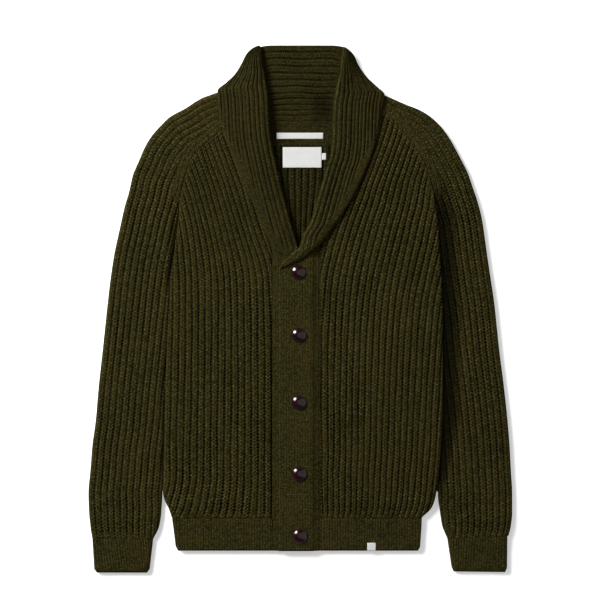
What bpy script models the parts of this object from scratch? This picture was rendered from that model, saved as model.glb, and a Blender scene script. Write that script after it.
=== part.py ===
"""Chunky ribbed cardigan with a shawl collar, buttoned and laid flat on its back.

+X is the wearer's left, +Y runs from the hem to the collar and +Z is up off the surface it
lies on. Every length below is in millimetres, and the meshes are written in metres.
Each panel is a cloth wall with its own thickness. Ribs stand proud of the outer face, and the
faces that lie on another panel or on the surface stay plain.
"""
import math
from collections import namedtuple

import bpy
import bmesh
from mathutils import Vector, geometry

# Driving dimensions, millimetres
SEAM = 0.5  # gap between two pieces that are sewn together
LAY = 0.4  # gap between two layers that lie on each other
BACK_TOP = 4.5  # back panel: thickness over its rib crests
BACK_GROOVE = 3.0  # back panel: thickness in its rib grooves
FRONT_BASE = 4.9  # underside of the front panels
WALL = 3.3  # knitted wall without its ribs
FRONT_RIB = 1.9  # height of a body rib over its groove
SLEEVE_LOWER = 3.7  # lower wall of a sleeve or cuff
SLEEVE_UPPER = 4.3  # underside of the upper wall
SLEEVE_RIB = 2.0
SLEEVE_RIB_PITCH = 9.9  # across one sleeve rib
COLLAR_RIB = 1.6
SIDE_ROUND = 12.0  # width over which a folded side rounds down
EDGE_KEEP = 2.6  # rib lines stop this far inside a piece's outline
LINE_STEP = 42.0  # longest step along a rib line
ROLL = 5.3  # radius of a rolled collar edge
HEM_Y = -323.0  # seam between the panels and the hem rib
HEM_END_Y = -374.0
BAND_RIGHT_X = (-43.5, 15.0)  # under band
BAND_LEFT_X = (-34.0, 30.5)  # top band, with its sewn side last
BAND_LEFT_BASE = 8.6
NECK_SEAM_Y = 253.0
COLLAR_TOP_Y = 408.6
BUTTON_RADIUS = 11.0
BUTTON_BASE = 12.3
BUTTON_YS = (56.9, -40.3, -144.2, -254.8, -350.9)
BUTTON_XS = (-3.1, -2.3, -2.3, -1.7, -0.8)
ARMPIT_Y = 161.0

# Front panels, section by section from the hem to the top: the edge beside the band and the
# collar seam, the edge along the side and the raglan seam, and two lines of its fan of ribs.
Front = namedtuple("Front", "y inner outer first_rib last_rib")
FRONT_RIGHT = [
    Front(-323, -44, -199, -44, -234),
    Front(-308, -44, -204, -44, -225),
    Front(-296, -44, -210, -44, -221),
    Front(-281, -44, -213, -44, -216),
    Front(-257, -44, -213, -44, -212),
    Front(-226, -44, -212, -44, -212),
    Front(-141, -44, -210, -44, -210),
    Front(-48, -44, -206, -45, -208),
    Front(14, -44, -203, -46.5, -207),
    Front(45, -44, -201, -48, -207),
    Front(76, -44, -197, -54, -208),
    Front(107, -47, -193, -65, -209),
    Front(138, -55, -189, -75, -213),
    Front(161, -62, -188, -82, -218),
    Front(194, -70, -181, -92, -227),
    Front(216, -75, -175, -100, -235),
    Front(239, -81, -164, -108, -244),
    Front(265, -85, -136, -118, -255),
    Front(285, -87, -112, -127, -263),
    Front(303, -88, -91, -135, -270),
]
FRONT_LEFT = [
    Front(-323, 31, 188, 35, 184),
    Front(-308, 31, 203, 35, 190),
    Front(-296, 31, 208, 34, 193),
    Front(-281, 31, 211, 34, 195),
    Front(-257, 31, 214, 33, 197),
    Front(-226, 31, 217, 34, 200),
    Front(-141, 31, 221, 33, 205),
    Front(-48, 31, 221, 34, 211),
    Front(14, 31, 220, 37, 218),
    Front(45, 31, 219, 40, 225),
    Front(76, 31, 217, 46, 232),
    Front(107, 33, 215, 54, 239),
    Front(138, 45, 213, 64, 244),
    Front(161, 57, 209, 73, 248),
    Front(194, 71, 203, 85, 250),
    Front(216, 77, 196, 94, 255),
    Front(239, 83, 186, 103, 261),
    Front(265, 88, 167, 112, 271),
    Front(290, 90, 145, 119, 280),
    Front(308, 91, 129, 126, 287),
    Front(325, 93.5, 100, 137, 294),
]
RIGHT_FAN = 16  # ribs between first_rib and last_rib
LEFT_FAN = 18

# Sleeves, section by section from the cuff up: the outer edge, and the inner edge, which
# above the armpit follows the raglan seam of the front.
Sleeve = namedtuple("Sleeve", "y outer inner")
SLEEVE_RIGHT = [
    Sleeve(-356.5, -322, -228.6),
    Sleeve(-336, -325, -219),
    Sleeve(-315, -327, -216),
    Sleeve(-287, -328, -214.5),
    Sleeve(-250, -325, -214.3),
    Sleeve(-212, -322, -213.3),
    Sleeve(-175, -317, -212.5),
    Sleeve(-119, -312, -210.6),
    Sleeve(-64, -306, -208),
    Sleeve(11, -298, -204.4),
    Sleeve(45, -294, -202.2),
    Sleeve(85, -288, -197.4),
    Sleeve(122, -280, -193),
    Sleeve(158, -272, -189.4),
    Sleeve(182, -265, -184.4),
    Sleeve(208, -259, -178),
    Sleeve(229, -250, -170),
    Sleeve(250, -241, -154),
    Sleeve(268, -230, -133),
    Sleeve(284, -216, -114),
    Sleeve(298, -201, -98),
    Sleeve(310, -179, -95),
    Sleeve(326, -153, -106),
    Sleeve(335, -129, -112),
]
SLEEVE_LEFT = [
    Sleeve(-355.5, 321, 228.4),
    Sleeve(-336, 326, 220.5),
    Sleeve(-315, 328, 217),
    Sleeve(-287, 328, 213.8),
    Sleeve(-250, 326, 216.2),
    Sleeve(-212, 324, 219.6),
    Sleeve(-175, 321, 221.6),
    Sleeve(-119, 315, 222.3),
    Sleeve(-64, 308, 222.3),
    Sleeve(11, 300, 221.2),
    Sleeve(45, 295, 220.2),
    Sleeve(85, 289, 217.8),
    Sleeve(107, 286, 216.3),
    Sleeve(140, 281, 214),
    Sleeve(164, 275, 209.5),
    Sleeve(188, 267, 205),
    Sleeve(211, 259, 198),
    Sleeve(231, 249, 190),
    Sleeve(250, 239, 179),
    Sleeve(267, 229, 165),
    Sleeve(284, 216, 151),
    Sleeve(298, 201, 139),
    Sleeve(308, 185, 130),
    Sleeve(316, 165, 118),
    Sleeve(325, 144, 101.5),
    Sleeve(333, 126, 109),
]

# Lapels, section by section from the button point to the top. roll is the folded inner edge,
# edge the free outer edge and under the end of the lower leg, which is sewn to the front.
# rise lifts the roll over what lies below it, slot is the space between the legs and rest is
# the height of the free edge's underside.
Lapel = namedtuple("Lapel", "y roll edge under rise slot rest rib")
LAPEL_RIGHT = [
    Lapel(91, -2, -41.5, -43.4, 0, 0.5, 8.8, 0.3),
    Lapel(99, -4, -44, -44.5, 0, 0.5, 10.4, 0.3),
    Lapel(111, -7, -50, -47.5, 0, 1.2, 10.6, 1.2),
    Lapel(130, -13, -60, -52.4, 0, 2.2, 10.6, 1.6),
    Lapel(167, -23, -75, -63, 0, 2.3, 10.6, 1.6),
    Lapel(194, -30, -86.5, -69.4, 0, 2.3, 10.6, 1.6),
    Lapel(216, -35, -95.5, -74.4, 0, 2.3, 10.6, 1.6),
    Lapel(239, -40, -105.5, -80.4, 0.3, 2.3, 10.6, 1.6),
    Lapel(265, -45, -115, -84.4, 2.0, 2.3, 10.6, 1.6),
    Lapel(285, -47, -121.5, -86.4, 3.8, 2.3, 10.6, 1.6),
    Lapel(308, -48, -126, -87.2, 4.9, 2.3, 10.6, 1.6),
    Lapel(329, -49, -128, -82, 4.9, 2.3, 10.6, 1.6),
    Lapel(337, -50, -128, -78, 4.9, 2.3, 9.2, 1.6),
    Lapel(352, -53, -114, -72, 4.9, 2.0, 1.5, 1.6),
    Lapel(365, -55, -101, -68, 4.9, 2.0, 0.6, 1.6),
    Lapel(381, -59, -91, -68, 4.9, 1.4, 1.6, 1.4),
    Lapel(394, -60.5, -84, -68, 4.9, 0.8, 5.0, 1.2),
    Lapel(402, -61.5, -76, -68, 4.9, 0.5, 11.0, 1.0),
]
LAPEL_LEFT = [
    Lapel(67, -32, -18, -26.6, 7.9, 0.5, 14.6, 0.4),
    Lapel(79, -20, 6, -12, 7.9, 1.2, 12.9, 1.0),
    Lapel(87, -12, 15.5, -2, 7.9, 1.8, 12.9, 1.4),
    Lapel(95, -2, 26, 10, 7.9, 2.2, 12.7, 1.6),
    Lapel(113, 4, 42, 22, 6.0, 2.2, 10.8, 1.6),
    Lapel(130, 13, 54, 35, 3.6, 2.3, 10.6, 1.6),
    Lapel(149, 20, 67, 48, 1.8, 2.3, 10.6, 1.6),
    Lapel(177, 28, 83.5, 63, 0.4, 2.3, 10.6, 1.6),
    Lapel(198, 34, 94, 71, 0, 2.3, 10.6, 1.6),
    Lapel(216, 39, 102, 76, 0, 2.3, 10.6, 1.6),
    Lapel(234, 45, 109, 81, 0.3, 2.3, 10.6, 1.6),
    Lapel(260, 49, 117, 86, 1.6, 2.3, 10.6, 1.6),
    Lapel(293, 50, 123.5, 89.2, 4.4, 2.3, 10.6, 1.6),
    Lapel(316, 51, 127.5, 90, 4.9, 2.3, 10.6, 1.6),
    Lapel(331, 53.5, 130, 84, 4.9, 2.3, 9.6, 1.6),
    Lapel(346, 56, 117, 78, 4.9, 2.3, 3.4, 1.6),
    Lapel(360, 60, 103, 74, 4.9, 2.0, 0.6, 1.6),
    Lapel(378, 62.5, 90.5, 72, 4.9, 1.4, 1.6, 1.4),
    Lapel(393, 65, 83, 72, 4.9, 0.8, 5.0, 1.2),
    Lapel(401, 66, 75, 71.5, 4.9, 0.5, 11.6, 1.0),
]
# Distance of each rib groove of a lapel from its roll
LAPEL_GROOVES = (7.1, 15.0, 21.4, 29.5, 40.3, 51.2, 62.0, 72.9)
# The crossing end of the left lapel and the tucked end of the right one, past their rolls
LEFT_END = ((-25.0, 63.2), (-30.0, 60.3))
RIGHT_END = ((-35.5, 72.0), (-31.0, 66.5), (-21.0, 75.0), (-13.0, 82.5))

# Back part of the collar: half widths of the stand at each height, left of centre and right
Stand = namedtuple("Stand", "y right_side left_side")
STAND = [
    Stand(253.4, -66.5, 68),
    Stand(280, -63.5, 68),
    Stand(305, -60, 66),
    Stand(330, -58, 64),
    Stand(365, -61, 66),
    Stand(390, -65, 70),
    Stand(404, -66, 70),
]
# Rib grooves across the stand, from the roll down to the plain strip above the seam
STAND_GROOVES = (397.6, 387.2, 375.9, 364.6, 354.3, 344.1, 333.6, 325.2, 315.7, 307.4, 299.8)

MM = 0.001


def smooth(stations, values, at):
    """Curve through a table's values that never swings past them, held flat outside."""
    if at <= stations[0]:
        return values[0]
    if at >= stations[-1]:
        return values[-1]
    count = len(stations)
    steps = [stations[i + 1] - stations[i] for i in range(count - 1)]
    slopes = [(values[i + 1] - values[i]) / steps[i] for i in range(count - 1)]
    tangents = [slopes[0]]
    for i in range(1, count - 1):
        before = slopes[i - 1]
        after = slopes[i]
        if before * after <= 0:
            tangents.append(0.0)
        else:
            tangents.append(2 * before * after / (before + after))
    tangents.append(slopes[-1])
    i = 0
    while at > stations[i + 1]:
        i += 1
    step = steps[i]
    t = (at - stations[i]) / step
    a = (1 + 2 * t) * (1 - t) ** 2
    b = t * (1 - t) ** 2
    c = t * t * (3 - 2 * t)
    d = t * t * (t - 1)
    return a * values[i] + b * step * tangents[i] + c * values[i + 1] + d * step * tangents[i + 1]


def read(table, name, y):
    """Value of one named column of a table at the height y."""
    return smooth([row.y for row in table], [getattr(row, name) for row in table], y)


def levels(low, high, step):
    """Heights from low to high in even steps no longer than step."""
    count = max(1, math.ceil(abs(high - low) / step))
    return [low + (high - low) * i / count for i in range(count + 1)]


def stations(low, high, step=18.0):
    """Heights from low to high that all panels share, so that their seams run alike."""
    first = math.floor(low / step) + 1
    last = math.ceil(high / step) - 1
    between = [step * i for i in range(first, last + 1)]
    return [low] + [y for y in between if low + 2 < y < high - 2] + [high]


def inside(point, outline):
    """True where a point lies inside a closed outline."""
    x, y = point
    hit = False
    before = outline[-1]
    for after in outline:
        if (before[1] > y) != (after[1] > y):
            cross = before[0] + (after[0] - before[0]) * (y - before[1]) / (after[1] - before[1])
            if x < cross:
                hit = not hit
        before = after
    return hit


def distance(point, path, closed=False):
    """Shortest distance from a point to a path."""
    best = 1e9
    x, y = point
    pairs = list(zip(path[:-1], path[1:]))
    if closed:
        pairs.append((path[-1], path[0]))
    for (ax, ay), (bx, by) in pairs:
        dx = bx - ax
        dy = by - ay
        length = dx * dx + dy * dy
        t = 0.0
        if length > 0:
            t = min(1.0, max(0.0, ((x - ax) * dx + (y - ay) * dy) / length))
        best = min(best, math.hypot(x - ax - t * dx, y - ay - t * dy))
    return best


def clipped(line, outline, keep, step=LINE_STEP):
    """Longest run of a finely stepped line that stays inside an outline, in longer steps."""
    best = []
    run = []
    for point in line:
        if inside(point, outline) and distance(point, outline, True) >= keep:
            run.append(point)
            if len(run) > len(best):
                best = list(run)
        else:
            run = []
    if len(best) < 3:
        return []
    length = sum(math.dist(a, b) for a, b in zip(best[:-1], best[1:]))
    if length < 6.0:
        return []
    count = max(1, math.ceil(length / step))
    picks = [round(i * (len(best) - 1) / count) for i in range(count + 1)]
    return [best[i] for i in picks]


def offset_path(path, away):
    """Path moved sideways by a distance, to its left side for a positive one."""
    moved = []
    last = len(path) - 1
    for i, (x, y) in enumerate(path):
        ax, ay = path[max(0, i - 1)]
        bx, by = path[min(last, i + 1)]
        length = math.hypot(bx - ax, by - ay)
        moved.append((x - (by - ay) / length * away, y + (bx - ax) / length * away))
    return moved


def triangulate(outline, lines):
    """Triangles over an outline that follow the rib lines inside it.

    Returns the points, the triangles, the number of outline points and each point's line.
    """
    points = [Vector(p) for p in outline]
    owner = [-1] * len(points)
    edges = []
    for index, line in enumerate(lines):
        start = len(points)
        points += [Vector(p) for p in line]
        owner += [index] * len(line)
        edges += [(start + i, start + i + 1) for i in range(len(line) - 1)]
    face = list(range(len(outline)))
    result = geometry.delaunay_2d_cdt(points, edges, [face], 1, 1e-4)
    found, triangles, origins = result[0], result[2], result[3]
    if len(found) != len(points):
        raise ValueError("a rib line crosses another line or the outline")
    to_input = [sources[0] for sources in origins]
    faces = [[to_input[i] for i in triangle] for triangle in triangles]
    return [tuple(p) for p in points], faces, len(outline), owner


def make_object(name, points, faces, colour, roughness=0.9):
    """Closed mesh object in metres with its own material."""
    mesh = bpy.data.meshes.new(name)
    mesh.from_pydata([(x * MM, y * MM, z * MM) for x, y, z in points], [], faces)
    shape = bmesh.new()
    shape.from_mesh(mesh)
    bmesh.ops.triangulate(shape, faces=[face for face in shape.faces if len(face.verts) > 4])
    bmesh.ops.recalc_face_normals(shape, faces=shape.faces)
    shape.to_mesh(mesh)
    shape.free()
    material = bpy.data.materials.new(name)
    material.use_nodes = True
    surface = material.node_tree.nodes["Principled BSDF"]
    surface.inputs["Base Color"].default_value = (*colour, 1.0)
    surface.inputs["Roughness"].default_value = roughness
    surface.inputs["Metallic"].default_value = 0.0
    mesh.materials.append(material)
    piece = bpy.data.objects.new(name, mesh)
    bpy.context.collection.objects.link(piece)
    return piece


def slab(name, outline, lines, top, base, colour):
    """Panel over a plain underside: top(point, line) gives each upper point's height."""
    points, faces, rim, owner = triangulate(outline, lines)
    upper = [(x, y, top((x, y), owner[i])) for i, (x, y) in enumerate(points)]
    if callable(base):
        lower = [(x, y, base((x, y))) for x, y in points]
        floor = [[i + len(upper) for i in reversed(face)] for face in faces]
    else:
        lower = [(x, y, base) for x, y in points[:rim]]
        floor = [[len(upper) + i for i in reversed(range(rim))]]
    walls = []
    for i in range(rim):
        j = (i + 1) % rim
        walls.append([i, j, len(upper) + j, len(upper) + i])
    return make_object(name, upper + lower, faces + floor + walls, colour)


def fold(name, roll, outline, lines, leg, heights, colour):
    """Doubled piece that turns over along a roll.

    roll lists the points where the flat upper leg starts to turn, with the outward direction
    and the reach of the turn. outline is the upper leg's outline and starts with those
    points. leg gives the far end of the lower leg for each of them. heights(point, line)
    returns the top and underside of the upper leg and the top and underside of the lower leg.
    """
    points, faces, rim, owner = triangulate(outline, lines)
    count = len(roll)
    size = len(points)
    shape = []
    for i, (x, y) in enumerate(points):
        shape.append((x, y, heights((x, y), owner[i])[0]))
    for i, (x, y) in enumerate(points):
        shape.append((x, y, heights((x, y), owner[i])[1]))
    polygons = list(faces)
    polygons += [[size + i for i in reversed(face)] for face in faces]
    for i in range(count - 1, rim):
        j = (i + 1) % rim
        polygons.append([i, j, size + j, size + i])
    outer_turn = []
    inner_turn = []
    lower_far = []
    for i, ((x, y), (dx, dy), reach) in enumerate(roll):
        top, under, floor_top, floor = heights((x, y), -1)
        ring = [i]
        middle = (top + floor) / 2
        half = (top - floor) / 2
        for step in (1, 2, 3, 4):
            turn = math.pi * step / 5
            ring.append(len(shape))
            out = reach * math.sin(turn)
            shape.append((x + dx * out, y + dy * out, middle + half * math.cos(turn)))
        ring.append(len(shape))
        shape.append((x, y, floor))
        outer_turn.append(ring)
        ring = [size + i]
        middle = (under + floor_top) / 2
        ring.append(len(shape))
        out = max(0.4, reach - WALL)
        shape.append((x + dx * out, y + dy * out, middle))
        ring.append(len(shape))
        shape.append((x, y, floor_top))
        inner_turn.append(ring)
        far_x, far_y = leg[i]
        far_floor = heights((far_x, far_y), -2)
        lower_far.append((len(shape), len(shape) + 1))
        shape.append((far_x, far_y, far_floor[3]))
        shape.append((far_x, far_y, far_floor[2]))
    for i in range(count - 1):
        for ring in (outer_turn, inner_turn):
            for k in range(len(ring[i]) - 1):
                polygons.append([ring[i][k], ring[i][k + 1], ring[i + 1][k + 1], ring[i + 1][k]])
        this_low, this_high = lower_far[i]
        next_low, next_high = lower_far[i + 1]
        polygons.append([outer_turn[i][-1], this_low, next_low, outer_turn[i + 1][-1]])
        polygons.append([this_low, this_high, next_high, next_low])
        polygons.append([this_high, inner_turn[i][-1], inner_turn[i + 1][-1], next_high])
    for i in (0, count - 1):
        low, high = lower_far[i]
        outer = outer_turn[i]
        inner = inner_turn[i]
        polygons.append([outer[0], outer[1], outer[2], inner[1], inner[0]])
        polygons.append([outer[2], outer[3], inner[1]])
        polygons.append([outer[3], outer[4], outer[5], inner[2], inner[1]])
        polygons.append([outer[5], low, high, inner[2]])
    return make_object(name, shape, polygons, colour)


def cut(piece, name, outline, low, high):
    """Cut a thin slot through a piece: the space between the two walls of a tube."""
    count = len(outline)
    points = [(x * MM, y * MM, low * MM) for x, y in outline]
    points += [(x * MM, y * MM, high * MM) for x, y in outline]
    faces = [list(reversed(range(count))), [count + i for i in range(count)]]
    faces += [[i, (i + 1) % count, count + (i + 1) % count, count + i] for i in range(count)]
    mesh = bpy.data.meshes.new(name)
    mesh.from_pydata(points, [], faces)
    shape = bmesh.new()
    shape.from_mesh(mesh)
    bmesh.ops.recalc_face_normals(shape, faces=shape.faces)
    shape.to_mesh(mesh)
    shape.free()
    cutter = bpy.data.objects.new(name, mesh)
    cutter.hide_render = True
    cutter.display_type = "WIRE"
    bpy.context.collection.objects.link(cutter)
    modifier = piece.modifiers.new(name, "BOOLEAN")
    modifier.operation = "DIFFERENCE"
    modifier.object = cutter


def rounded(away, reach=SIDE_ROUND):
    """Share of its full height that a side keeps at a distance from its edge."""
    if away >= reach:
        return 1.0
    return math.sqrt(max(0.0, 1 - (1 - away / reach) ** 2))


for old in list(bpy.data.objects):
    bpy.data.objects.remove(old, do_unlink=True)

OLIVE = (0.026, 0.020, 0.006)
OLIVE_BAND = (0.031, 0.024, 0.008)
BUTTON_RED = (0.030, 0.004, 0.003)
LABEL_LIGHT = (0.75, 0.75, 0.74)


# Front panels
def front_outline(table):
    """Outline of a front: up its inner edge, then down its outer edge."""
    ys = stations(table[0].y, table[-1].y)
    inner = [(read(table, "inner", y), y) for y in ys]
    outer = [(read(table, "outer", y), y) for y in reversed(ys)]
    return inner + outer


def fan_lines(table, ribs, outline, first, last):
    """Groove and crest lines of a fan of ribs, two to a rib."""
    lines = []
    crests = []
    ys = levels(table[0].y, table[-1].y, 3.0)
    for half in range(first * 2, last * 2 + 1):
        share = half / 2 / ribs
        line = []
        for y in ys:
            start = read(table, "first_rib", y)
            end = read(table, "last_rib", y)
            line.append((start + (end - start) * share, y))
        line = clipped(line, outline, EDGE_KEEP)
        if line:
            lines.append(line)
            crests.append(half % 2 == 1)
    return lines, crests


def front(name, table, ribs):
    """One front panel with its fan of ribs and its rounded side."""
    outline = front_outline(table)
    lines, crests = fan_lines(table, ribs, outline, -8, ribs + 6)
    side = [(read(table, "outer", y), y) for y in levels(table[0].y, ARMPIT_Y, 18.0)]

    def top(point, line):
        rib = FRONT_RIB if line >= 0 and crests[line] else 0.0
        keep = rounded(distance(point, side))
        return FRONT_BASE + 1.3 + (WALL - 1.3 + rib) * keep

    return slab(name, outline, lines, top, FRONT_BASE, OLIVE)


front("front_right", FRONT_RIGHT, RIGHT_FAN)
front("front_left", FRONT_LEFT, LEFT_FAN)


# Back panel: plain under the fronts, ribbed where the neck shows it
def back():
    """Back panel from the hem seam to the neck seam."""
    right = [(read(FRONT_RIGHT, "outer", y), y) for y in stations(-323, 303)]
    left = [(read(FRONT_LEFT, "outer", y), y) for y in stations(-323, 325)]
    seam_y = NECK_SEAM_Y - 0.4
    neck = [(91, 318), (80, 288), (71, 268), (69, seam_y), (40, seam_y), (0, seam_y)]
    neck += [(-40, seam_y), (-67, seam_y), (-70, 268), (-78, 290)]
    outline = left + neck + list(reversed(right)) + [(-100, -323), (0, -323), (100, -323)]
    lines = []
    crests = []
    for index in range(-10, 12):
        x = 1.5 + index * 5.4
        low = 88 + max(0.0, abs(x) - 4) * 2.6
        if low < 225:
            lines.append(clipped([(x, y) for y in levels(low, 249.0, 3.0)], outline, EDGE_KEEP))
            crests.append(index % 2 == 0)

    def top(point, line):
        if line >= 0 and not crests[line]:
            return BACK_GROOVE
        keep = rounded(min(distance(point, right[:28]), distance(point, left[:28])), 8.0)
        return 2.6 + (BACK_TOP - 2.6) * keep

    return slab("back", outline, lines, top, 0.0, OLIVE)


back()


# Sleeves: flattened tubes from the raglan seam to the cuff
def sleeve_edges(table, front_table, side, drop):
    """Outer and inner edge of a sleeve, from the cuff up."""
    top_y = table[-1].y
    outer = [(read(table, "outer", y), y) for y in stations(table[0].y, top_y)]
    inner = []
    seam_top = front_table[-1].y
    for y in stations(table[0].y, seam_top) + [top_y]:
        x = read(table, "inner", y)
        if ARMPIT_Y <= y <= seam_top:
            x = read(front_table, "outer", y) + side * SEAM * 1.3
        inner.append((x, y))
    outer[0] = (outer[0][0], outer[0][1] + drop)
    return outer, inner


def sleeve(name, table, front_table, side, drop):
    """One sleeve: ribs parallel to its outer edge, and a slot between its walls."""
    outer, inner = sleeve_edges(table, front_table, side, drop)
    outline = outer + list(reversed(inner))
    guide = [(read(table, "outer", y), y) for y in levels(table[0].y, table[-1].y, 5.0)]
    turn = (guide[-1][0] - side * 40, guide[-1][1] + 8)
    steps = levels(0.0, 1.0, 0.1)
    last = guide[-1]
    guide += [(last[0] + (turn[0] - last[0]) * t, last[1] + (turn[1] - last[1]) * t) for t in steps[1:]]
    lines = []
    crests = []
    for half in range(1, 30):
        path = offset_path(guide, side * half * SLEEVE_RIB_PITCH / 2)
        line = clipped(path, outline, EDGE_KEEP, 30.0)
        if line:
            lines.append(line)
            crests.append(half % 2 == 1)
    under = [p for p in inner if p[1] <= ARMPIT_Y]

    def top(point, line):
        rib = SLEEVE_RIB if line >= 0 and crests[line] else 0.0
        keep = rounded(min(distance(point, outer), distance(point, under)))
        return 5.6 + (SLEEVE_UPPER + WALL - 5.6 + rib) * keep

    piece = slab(name, outline, lines, top, 0.0, OLIVE)
    slot = [(x - side * 7.0, y) for x, y in outer if y < 300]
    slot[0] = (slot[0][0], slot[0][1] - 12)
    far = [(x + side * 7.0, y) for x, y in inner if y < ARMPIT_Y - 8]
    far[0] = (far[0][0], far[0][1] - 12)
    through = [(x - side * 9.0, y + 6.0) for x, y in inner if ARMPIT_Y - 8 <= y <= 285]
    slot_outline = slot + list(reversed(far + through))
    cut(piece, name + "_slot", slot_outline, SLEEVE_LOWER, SLEEVE_UPPER)
    return piece


sleeve("sleeve_right", SLEEVE_RIGHT, FRONT_RIGHT, -1, 3.0)
sleeve("sleeve_left", SLEEVE_LEFT, FRONT_LEFT, 1, 4.5)


# Rib bands: plain here, with soft edges
def ring_inside(outline, away):
    """Outline moved inwards, for a counter-clockwise outline."""
    closed = [outline[-1]] + list(outline) + [outline[0]]
    return offset_path(closed, away)[1:-1]


def turned(outline):
    """Outline in counter-clockwise order."""
    area = sum(a[0] * b[1] - b[0] * a[1] for a, b in zip(outline, outline[1:] + outline[:1]))
    return list(outline) if area > 0 else list(reversed(outline))


def band_slab(name, corners, base, top_z, edge_z, colour=OLIVE_BAND, step=30.0):
    """Flat rib band with its upper edges softened."""
    outline = []
    corners = turned(corners)
    for a, b in zip(corners, corners[1:] + corners[:1]):
        count = max(1, math.ceil(math.dist(a, b) / step))
        outline += [(a[0] + (b[0] - a[0]) * i / count, a[1] + (b[1] - a[1]) * i / count)
                    for i in range(count)]
    ring = ring_inside(outline, 3.0)
    ring.append(ring[0])
    lines = [ring[:-1]]

    def top(point, line):
        return top_z if line >= 0 else edge_z

    return slab(name, outline, lines, top, base, colour)


CUFF_RIGHT = [(-322, -354.0), (-228.6, -357.0), (-234, -403), (-238, -408.3), (-315, -408.3), (-319, -403)]
CUFF_LEFT = [(320.6, -351.5), (228.4, -356.0), (235, -400), (238, -406.5), (317, -407.5), (320, -401)]
for cuff_name, cuff, side in (("cuff_right", CUFF_RIGHT, -1), ("cuff_left", CUFF_LEFT, 1)):
    cuff_piece = band_slab(cuff_name, cuff, 0.0, 8.3, 6.4)
    slot_box = [(side * 236, -340), (side * 313, -340), (side * 311, -425), (side * 241, -425)]
    cut(cuff_piece, cuff_name + "_slot", slot_box, SLEEVE_LOWER, SLEEVE_UPPER)

HEM_RIGHT_SIDE = [(-198.5, HEM_Y - SEAM), (-196.5, -338), (-193, -367), (-189, HEM_END_Y)]
HEM_LEFT_SIDE = [(188, HEM_Y - SEAM), (187.5, -338), (185.5, -368), (182, HEM_END_Y)]
band_slab("hem_right", HEM_RIGHT_SIDE + [(-44, HEM_END_Y), (-44, HEM_Y - SEAM)], FRONT_BASE, 8.3, 7.4)
band_slab("hem_left", HEM_LEFT_SIDE + [(31, HEM_END_Y), (31, HEM_Y - SEAM)], FRONT_BASE, 8.3, 7.4)
band_slab("hem_back", HEM_RIGHT_SIDE + list(reversed(HEM_LEFT_SIDE)), 0.0, BACK_TOP, 3.6)


# Front bands
def band_right():
    """Under band: a flat strip from the hem up to the right lapel."""
    low_x, high_x = BAND_RIGHT_X
    corners = [(low_x, HEM_END_Y), (high_x, HEM_END_Y), (high_x, 78.0), (4.0, 88.4), (low_x, 88.4)]
    band_slab("band_right", corners, FRONT_BASE, 8.3, 7.7, step=60.0)


def band_left():
    """Top band: lies on the under band and comes down to its own front at its sewn side."""
    low_x, high_x = BAND_LEFT_X
    columns = [low_x, low_x + 2.5, -16.0, 0.0, 15.5, 19.0, 23.0, 27.0, high_x]
    drop = [1.3, 0.0, 0.0, 0.0, 0.0, -0.6, -2.4, -3.4, -3.7]
    top_ys = [63.5, 65.0, 73.0, 81.5, 91.0, 93.5, 96.5, 99.5, 101.0]
    lows = [BAND_LEFT_BASE] * 5 + [BAND_LEFT_BASE - 0.6, 6.2, 5.2, FRONT_BASE]
    highs = [lows[i] + WALL + 0.1 for i in range(9)]
    highs[0] = highs[0] - drop[0]
    highs[-1] = highs[-1] - 0.6
    rows = 12
    points = []
    for row in range(rows + 1):
        share = row / rows
        for i, x in enumerate(columns):
            y = HEM_END_Y + (top_ys[i] - HEM_END_Y) * share
            points.append((x, y, highs[i]))
    size = len(points)
    points += [(x, y, lows[i % 9]) for i, (x, y, _) in enumerate(points)]
    faces = []
    for row in range(rows):
        for i in range(8):
            a = row * 9 + i
            faces.append([a, a + 1, a + 10, a + 9])
            faces.append([size + a, size + a + 9, size + a + 10, size + a + 1])
    for row in range(rows):
        for i in (0, 8):
            a = row * 9 + i
            faces.append([a, a + 9, size + a + 9, size + a])
    for i in range(8):
        for row in (0, rows):
            a = row * 9 + i
            faces.append([a, a + 1, size + a + 1, size + a])
    make_object("band_left", points, faces, OLIVE_BAND)


band_right()
band_left()


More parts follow.
